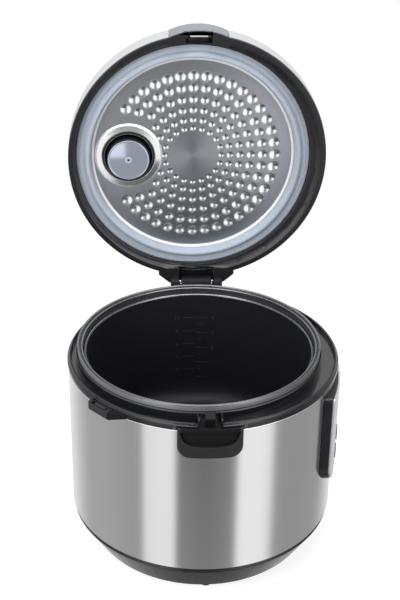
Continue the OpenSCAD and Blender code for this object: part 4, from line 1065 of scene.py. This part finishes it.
# %% Three springs
SPRINGS = {
    "sensor_spring": (6, 10, 16.4, 0.6, Matrix.Translation((POT_X, 0, 59.4 * MM))),
    "hinge_spring": (8, 4.2, 12, 0.6, Matrix.Translation((-6 * MM, HINGE.y, HINGE.z)) @ quarter("Y")),
    "latch_spring": (
        7, 1.8, 12, 0.35, LID_TURN @ Matrix.Translation((0, -128.35 * MM, 239.7 * MM)) @ quarter("X")
    )
}
for node, (turns, radius, length, thick, stand) in SPRINGS.items():
    coil = made_by(spring, Turns=turns, Radius=radius * MM, Length=length * MM, Wire=thick * MM, Dead=1.0)
    coil.transform(stand)
    piece_from("wound_" + node, coil, plated_steel, BODY[node], SLOT[node], node)
    low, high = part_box(node)
    print(node, "box, mm:", [round(v / MM, 1) for v in (*low, *high)])

# %% [markdown]
# ## Small pieces at the hinge and the spoon holder
#
# A black sleeve sits on the hinge pin at each end of the bracket, so only a glint of the pin shows. On the
# spoon holder a small tongue with a sloping top stands in the slot. The sleeves are turned, the tongue is a
# profile drawn out.

# %% Sleeves and tongue
SLEEVE_PROFILE = rounded([(2.55, 18.0, 0), (3.5, 18.0, 0.2), (3.5, 19.4, 0.2), (2.55, 19.4, 0)], 3)
sleeves = joined([
    lathe(SLEEVE_PROFILE, 0, Matrix.Translation(HINGE) @ quarter("Y", turns), 40) for turns in (-1, 1)
])
piece_from("hinge_sleeves", sleeves, black_and_painted_shade, "body", "black_plastic")
TONGUE_ENDS, TONGUE_EDGE = (-5.4, 8.4), 0.3
TONGUE_PROFILE = [(-145.0, 210.3), (-145.0, 212.5), (-144.3, 213.1), (-141.5, 212.1), (-141.5, 210.3)]
shape = bmesh.new()
ends = [[shape.verts.new((x, y, z)) for y, z in TONGUE_PROFILE] for x in TONGUE_ENDS]
for end in ends:
    shape.faces.new(end)
for index in range(len(TONGUE_PROFILE)):
    shape.faces.new((ends[0][index - 1], ends[0][index], ends[1][index], ends[1][index - 1]))
bmesh.ops.recalc_face_normals(shape, faces=shape.faces)
bmesh.ops.bevel(
    shape, geom=shape.edges[:], offset=TONGUE_EDGE, segments=BEVEL_STEPS, profile=0.5, affect="EDGES"
)
shape.transform(Matrix.Scale(MM, 4) @ SPOON_TURN.to_4x4())
tongue = piece_from("spoon_tongue", to_mesh(shape), mark_grey, "body", "black_plastic")
print("sleeves:", len(sleeves.polygons), "faces, tongue:", len(tongue.data.polygons), "faces")

# %% [markdown]
# ## Bright edge of the wall
#
# Where the steel wall meets the black ring its edge is rolled over, and that thin roll catches the light.
# Its metal is also much lighter than the wall's, a painted highlight. It is one more turned piece, a narrow
# ring just under the black one.

# %% Steel edge
EDGE_PROFILE = rounded([(138.9, 206.2, 0), (139.7, 206.7, 0.3), (139.7, 207.4, 0.3), (138.9, 207.65, 0)], 3)
edge = piece_from("steel_edge", lathe(EDGE_PROFILE, 0, sides=240), edge_painted_highlight, "body", "brushed_steel")
print("steel edge:", len(edge.data.polygons), "faces")

# %% [markdown]
# ## Level marks in the pot
#
# Two columns of ticks with plain numbers stand on the pot's back wall. The ticks repeat at an even step, so
# one recipe makes a column: bars on a line of points, drawn flat. The numbers are text made a mesh. Both
# are then wrapped round the wall by the same rule, which takes a length along the flat drawing as an angle.

# %% Recipe for a column of ticks
BAR_STEPS = 7
level_ticks, given = recipe(
    "level_ticks", Left="Float", Length="Float", Top="Float", Step="Float", Count="Int", Bar="Float",
    Proud="Float"
)
middle = math_node(level_ticks, "MULTIPLY_ADD", given["Length"], 0.5, given["Left"])
column = add(level_ticks, "GeometryNodeMeshLine", {
    "Count": given["Count"], "Start Location": vector(level_ticks, middle, 0.0, given["Top"]),
    "Offset": vector(level_ticks, z=math_node(level_ticks, "MULTIPLY", given["Step"], -1.0))
}).outputs[0]
bar_size = vector(level_ticks, given["Length"], given["Proud"], given["Bar"])
bar = add(level_ticks, "GeometryNodeMeshCube", {"Size": bar_size, "Vertices X": BAR_STEPS}).outputs[0]
close_recipe(level_ticks, on_points(level_ticks, column, bar), mark_grey)

# %% Numbers and the wrap
POT_WALL, MARK_PROUD, TICK_BAR, NUMBER_HIGH = (v * MM for v in (115.6, 0.4, 0.9, 7.5))


def number_mesh(digits, height, thick):
    curve = bpy.data.curves.new("number", "FONT")
    curve.body = digits
    curve.size = height
    curve.extrude = thick / 2
    curve.resolution_u = 3
    curve.align_x = curve.align_y = "CENTER"
    holder = bpy.data.objects.new("number", curve)
    bpy.context.scene.collection.objects.link(holder)
    mesh = bpy.data.meshes.new_from_object(holder.evaluated_get(bpy.context.evaluated_depsgraph_get()))
    bpy.data.objects.remove(holder)
    shape = bmesh.new()
    shape.from_mesh(mesh)
    bmesh.ops.remove_doubles(shape, verts=shape.verts, dist=WELD)
    bmesh.ops.recalc_face_normals(shape, faces=shape.faces)
    shape.transform(quarter("X"))
    return to_mesh(shape)


def wrap_on_pot(mesh):
    for vertex in mesh.vertices:
        angle = vertex.co.x / POT_WALL
        reach = POT_WALL + vertex.co.y
        vertex.co = (POT_X + reach * math.sin(angle), reach * math.cos(angle), vertex.co.z)


# %% [markdown]
# Ticks and numbers of one side share their top and their step, so they stay level with each other. They are
# joined while still flat, so that the wrap bends all of them at once.

# %% Ticks and numbers
COLUMNS = [(-12.9, 12.5, 190.5, 16.9, 6), (2.9, 13.1, 190.4, 19.4, 5), (5.8, 3.5, 181.4, 19.4, 4)]
NUMBERS = [(-18.6, 190.5, 16.9, ("10", "8", "6", "4", "2")), (21.4, 190.4, 19.4, ("4", "3", "2", "1"))]
marks = [
    made_by(
        level_ticks, Left=left * MM, Length=length * MM, Top=top * MM, Step=step * MM, Count=count,
        Bar=TICK_BAR, Proud=MARK_PROUD
    )
    for left, length, top, step, count in COLUMNS
]
for across, top, step, texts in NUMBERS:
    for index, digits in enumerate(texts):
        made = number_mesh(digits, NUMBER_HIGH, MARK_PROUD)
        made.transform(Matrix.Translation((across * MM, 0, (top - index * step) * MM)))
        marks.append(made)
marks_mesh = joined(marks)
wrap_on_pot(marks_mesh)
piece_from("level_marks", marks_mesh, mark_grey, "pot", "non_stick")
print("level marks:", len(marks_mesh.polygons), "faces")

# %% [markdown]
# ## Screws
#
# Ten screws hold the cooker together: four in the bottom cover, two in the hinge, four in the lid. A recipe
# makes one with a cross recess, cut by a Boolean, and puts it on every point it is given.

# %% Recipe for screws
SCREW_SIDES, DOME_TOP, CROSS_LONG, CROSS_THIN = 20, 0.8, 1.1, 0.26
screws, given = recipe("screws", Places="Geometry", Head="Float", High="Float", Shank="Float", Length="Float")
dome_top, long, thin = (
    math_node(screws, "MULTIPLY", given["Head"], share) for share in (DOME_TOP, CROSS_LONG, CROSS_THIN)
)
dome = add(screws, "GeometryNodeMeshCone", {
    "Vertices": SCREW_SIDES, "Radius Top": dome_top, "Radius Bottom": given["Head"], "Depth": given["High"]
}).outputs["Mesh"]
cross = add(screws, "GeometryNodeMeshBoolean", {"Mesh 1": dome}, operation="DIFFERENCE")
raised = vector(screws, z=given["High"])
for wide, deep in ((long, thin), (thin, long)):
    blade = vector(screws, wide, deep, given["High"])
    slot_cube = add(screws, "GeometryNodeMeshCube", {"Size": blade}).outputs[0]
    screws.links.new(shifted(screws, slot_cube, raised), cross.inputs["Mesh 2"])
shank = add(screws, "GeometryNodeMeshCylinder", {
    "Vertices": SCREW_SIDES, "Radius": given["Shank"], "Depth": given["Length"]
}).outputs["Mesh"]
sunk = vector(screws, z=math_node(screws, "MULTIPLY", given["Length"], -0.5))
screw = put_together(screws, cross.outputs[0], shifted(screws, shank, sunk))
close_recipe(screws, on_points(screws, given["Places"], screw), plated_steel)


# %% Three sets of screws
def square_of(reach):
    side = reach * MM / math.sqrt(2)
    return [(sx * side, sy * side, 0) for sx in (-1, 1) for sy in (-1, 1)]


LID_HEAD = 1.05
LID_SCREW_Z = HINGE.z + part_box("lid_screws")[0][1] - HINGE.y + LID_HEAD * MM
SCREWS = {
    "bottom_screws": (3.5, 1.8, 1.5, 8, square_of(97), Matrix.Translation((0, 0, 3 * MM)) @ quarter("X", 2)),
    "hinge_screws": (
        3, 2, 1.4, 12.5, [(-11 * MM, 0, 0), (11 * MM, 0, 0)],
        Matrix.Translation((0, 143.5 * MM, 202 * MM)) @ quarter("X", -1)
    ),
    "lid_screws": (
        3, LID_HEAD, 1.4, 10, square_of(105),
        LID_TURN @ Matrix.Translation((0, 0, LID_SCREW_Z)) @ quarter("X", 2)
    )
}
for node, (head, tall, shank, length, spots, stand) in SCREWS.items():
    points = bpy.data.meshes.new("points")
    points.from_pydata(spots, [], [])
    group = made_by(screws, points, Head=head * MM, High=tall * MM, Shank=shank * MM, Length=length * MM)
    group.transform(stand)
    piece = piece_from("cross_" + node, group, plated_steel, BODY[node], SLOT[node], node)
    low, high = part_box(node)
    print(node, "box, mm:", [round(v / MM, 1) for v in (*low, *high)], len(piece.data.polygons), "faces")

# %% [markdown]
# ## Signs on the panel
#
# The push-buttons carry plain signs, a hair proud of the face and riding on their own button: a triangle, a
# cross, three bars, a clock, plus and minus. The display shows seven-bar digits. Each sign is a set of flat
# outlines, drawn as seen from outside, thickened and bent onto the panel's round face.

# %% From outlines to a sign
FACE_CENTRE, FACE_R, SIGN_PROUD, SIGN_SUNK = -73.2, 215.0, 0.1, 0.1


def sign_mesh(outlines):
    shape = bmesh.new()
    for outline in outlines:
        under = [shape.verts.new((u, v, -SIGN_SUNK)) for u, v in outline]
        over = [shape.verts.new((u, v, SIGN_PROUD)) for u, v in outline]
        shape.faces.new(over)
        shape.faces.new(under[::-1])
        for index in range(len(outline)):
            shape.faces.new((under[index - 1], under[index], over[index], over[index - 1]))
    bmesh.ops.recalc_face_normals(shape, faces=shape.faces)
    return shape


def bar_outline(width, height, at=(0, 0)):
    return [(at[0] + sx * width / 2, at[1] + sy * height / 2) for sx, sy in SQUARE]


def cross_outline(long, thin, turn_by=0.0):
    corner = [(thin, thin), (thin, long), (-thin, long)]
    points = [Matrix.Rotation(math.radians(90 * k + turn_by), 2) @ Vector(p) for k in range(4) for p in corner]
    return [tuple(point / 2) for point in points]


def ring_outlines(outer, inner, sides=20):
    rim = circle_of(sides)
    return [
        [(x0 * inner, y0 * inner), (x0 * outer, y0 * outer), (x1 * outer, y1 * outer), (x1 * inner, y1 * inner)]
        for (x0, y0), (x1, y1) in zip(rim, rim[1:] + rim[:1])
    ]


print("signs stand", SIGN_PROUD, "mm proud")

# %% Button signs
SIGNS = {
    "start_button": [[(-2.2, -2.9), (3.2, 0), (-2.2, 2.9)]],
    "cancel_button": [cross_outline(7, 1.2, 45)],
    "menu_button": [bar_outline(6, 1.1, (0, v)) for v in (-2.2, 0, 2.2)],
    "timer_button": [
        *ring_outlines(3.4, 2.5), [(-0.4, -0.4), (1.6, -0.4), (1.6, 0.4), (0.4, 0.4), (0.4, 2), (-0.4, 2)]
    ],
    "plus_button": [cross_outline(6.4, 1.2)],
    "minus_button": [bar_outline(6.4, 1.2)]
}
BUTTON_PROUD = 0.8
for node, outlines in SIGNS.items():
    low, high = (Vector(corner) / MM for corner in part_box(node))
    centre = (low + high) / 2
    angle = round(math.degrees(math.atan2(centre.y, centre.x - FACE_CENTRE)))
    face_out = Matrix.Rotation(math.radians(angle + 90), 4, "Z")
    out_to = Matrix.Rotation(math.radians(angle), 3, "Z") @ Vector((FACE_R + BUTTON_PROUD, 0, 0))
    place = Matrix.Translation(Vector((FACE_CENTRE, 0, centre.z)) + out_to)
    shape = sign_mesh(outlines)
    shape.transform(Matrix.Scale(MM, 4) @ place @ face_out @ quarter("X"))
    piece_from("sign_" + node, to_mesh(shape), sign_white, BODY[node], SLOT[node])
    print(node, "at", angle, "degrees")

# %% [markdown]
# A digit of the display is one bar in seven places. The bars that are lit are white, and the rest are
# nearly as dark as the window, as they are on a real display. They follow the window's curve, so each point
# is bent on its own.

# %% Display digits
DIGIT_LIT = {"0": "abcdef", "3": "abcdg"}
TIP, THIN = 3.5, 0.75
flat_bar = [
    (-TIP, 0), (THIN - TIP, -THIN), (TIP - THIN, -THIN), (TIP, 0), (TIP - THIN, THIN), (THIN - TIP, THIN)
]
upright_bar = [(-v, u) for u, v in flat_bar]
SIDE, BAR_SHARE = 3.8, 0.94
SEGMENTS = {
    "a": (flat_bar, 0, 2 * SIDE), "g": (flat_bar, 0, 0), "d": (flat_bar, 0, -2 * SIDE),
    "f": (upright_bar, -SIDE, SIDE), "b": (upright_bar, SIDE, SIDE), "e": (upright_bar, -SIDE, -SIDE),
    "c": (upright_bar, SIDE, -SIDE)
}
DISPLAY_Z, DIGITS, DIGITS_AT = 171.0, "0030", (-21, -8.5, 8.5, 21)
DOT, DOT_HEIGHTS = 1.6, (-3, 3)
lit = [bar_outline(DOT, DOT, (0, v)) for v in DOT_HEIGHTS]
unlit = []
for across, digit in zip(DIGITS_AT, DIGITS):
    for segment, (outline, u0, v0) in SEGMENTS.items():
        moved = [(across + u0 + BAR_SHARE * u, v0 + BAR_SHARE * v) for u, v in outline]
        (lit if segment in DIGIT_LIT[digit] else unlit).append(moved)
for name, outlines, finish in (("lit_digits", lit, sign_white), ("unlit_digits", unlit, unlit_segment)):
    shape = sign_mesh(outlines)
    for vertex in shape.verts:
        u, v, w = vertex.co
        turned_by, out_to = u / FACE_R, FACE_R + w
        x, y = FACE_CENTRE + out_to * math.cos(turned_by), out_to * math.sin(turned_by)
        vertex.co = Vector((x, y, DISPLAY_Z + v)) * MM
    piece_from(name, to_mesh(shape), finish, BODY["display_window"], SLOT["display_window"])
    print(name, len(outlines), "bars")
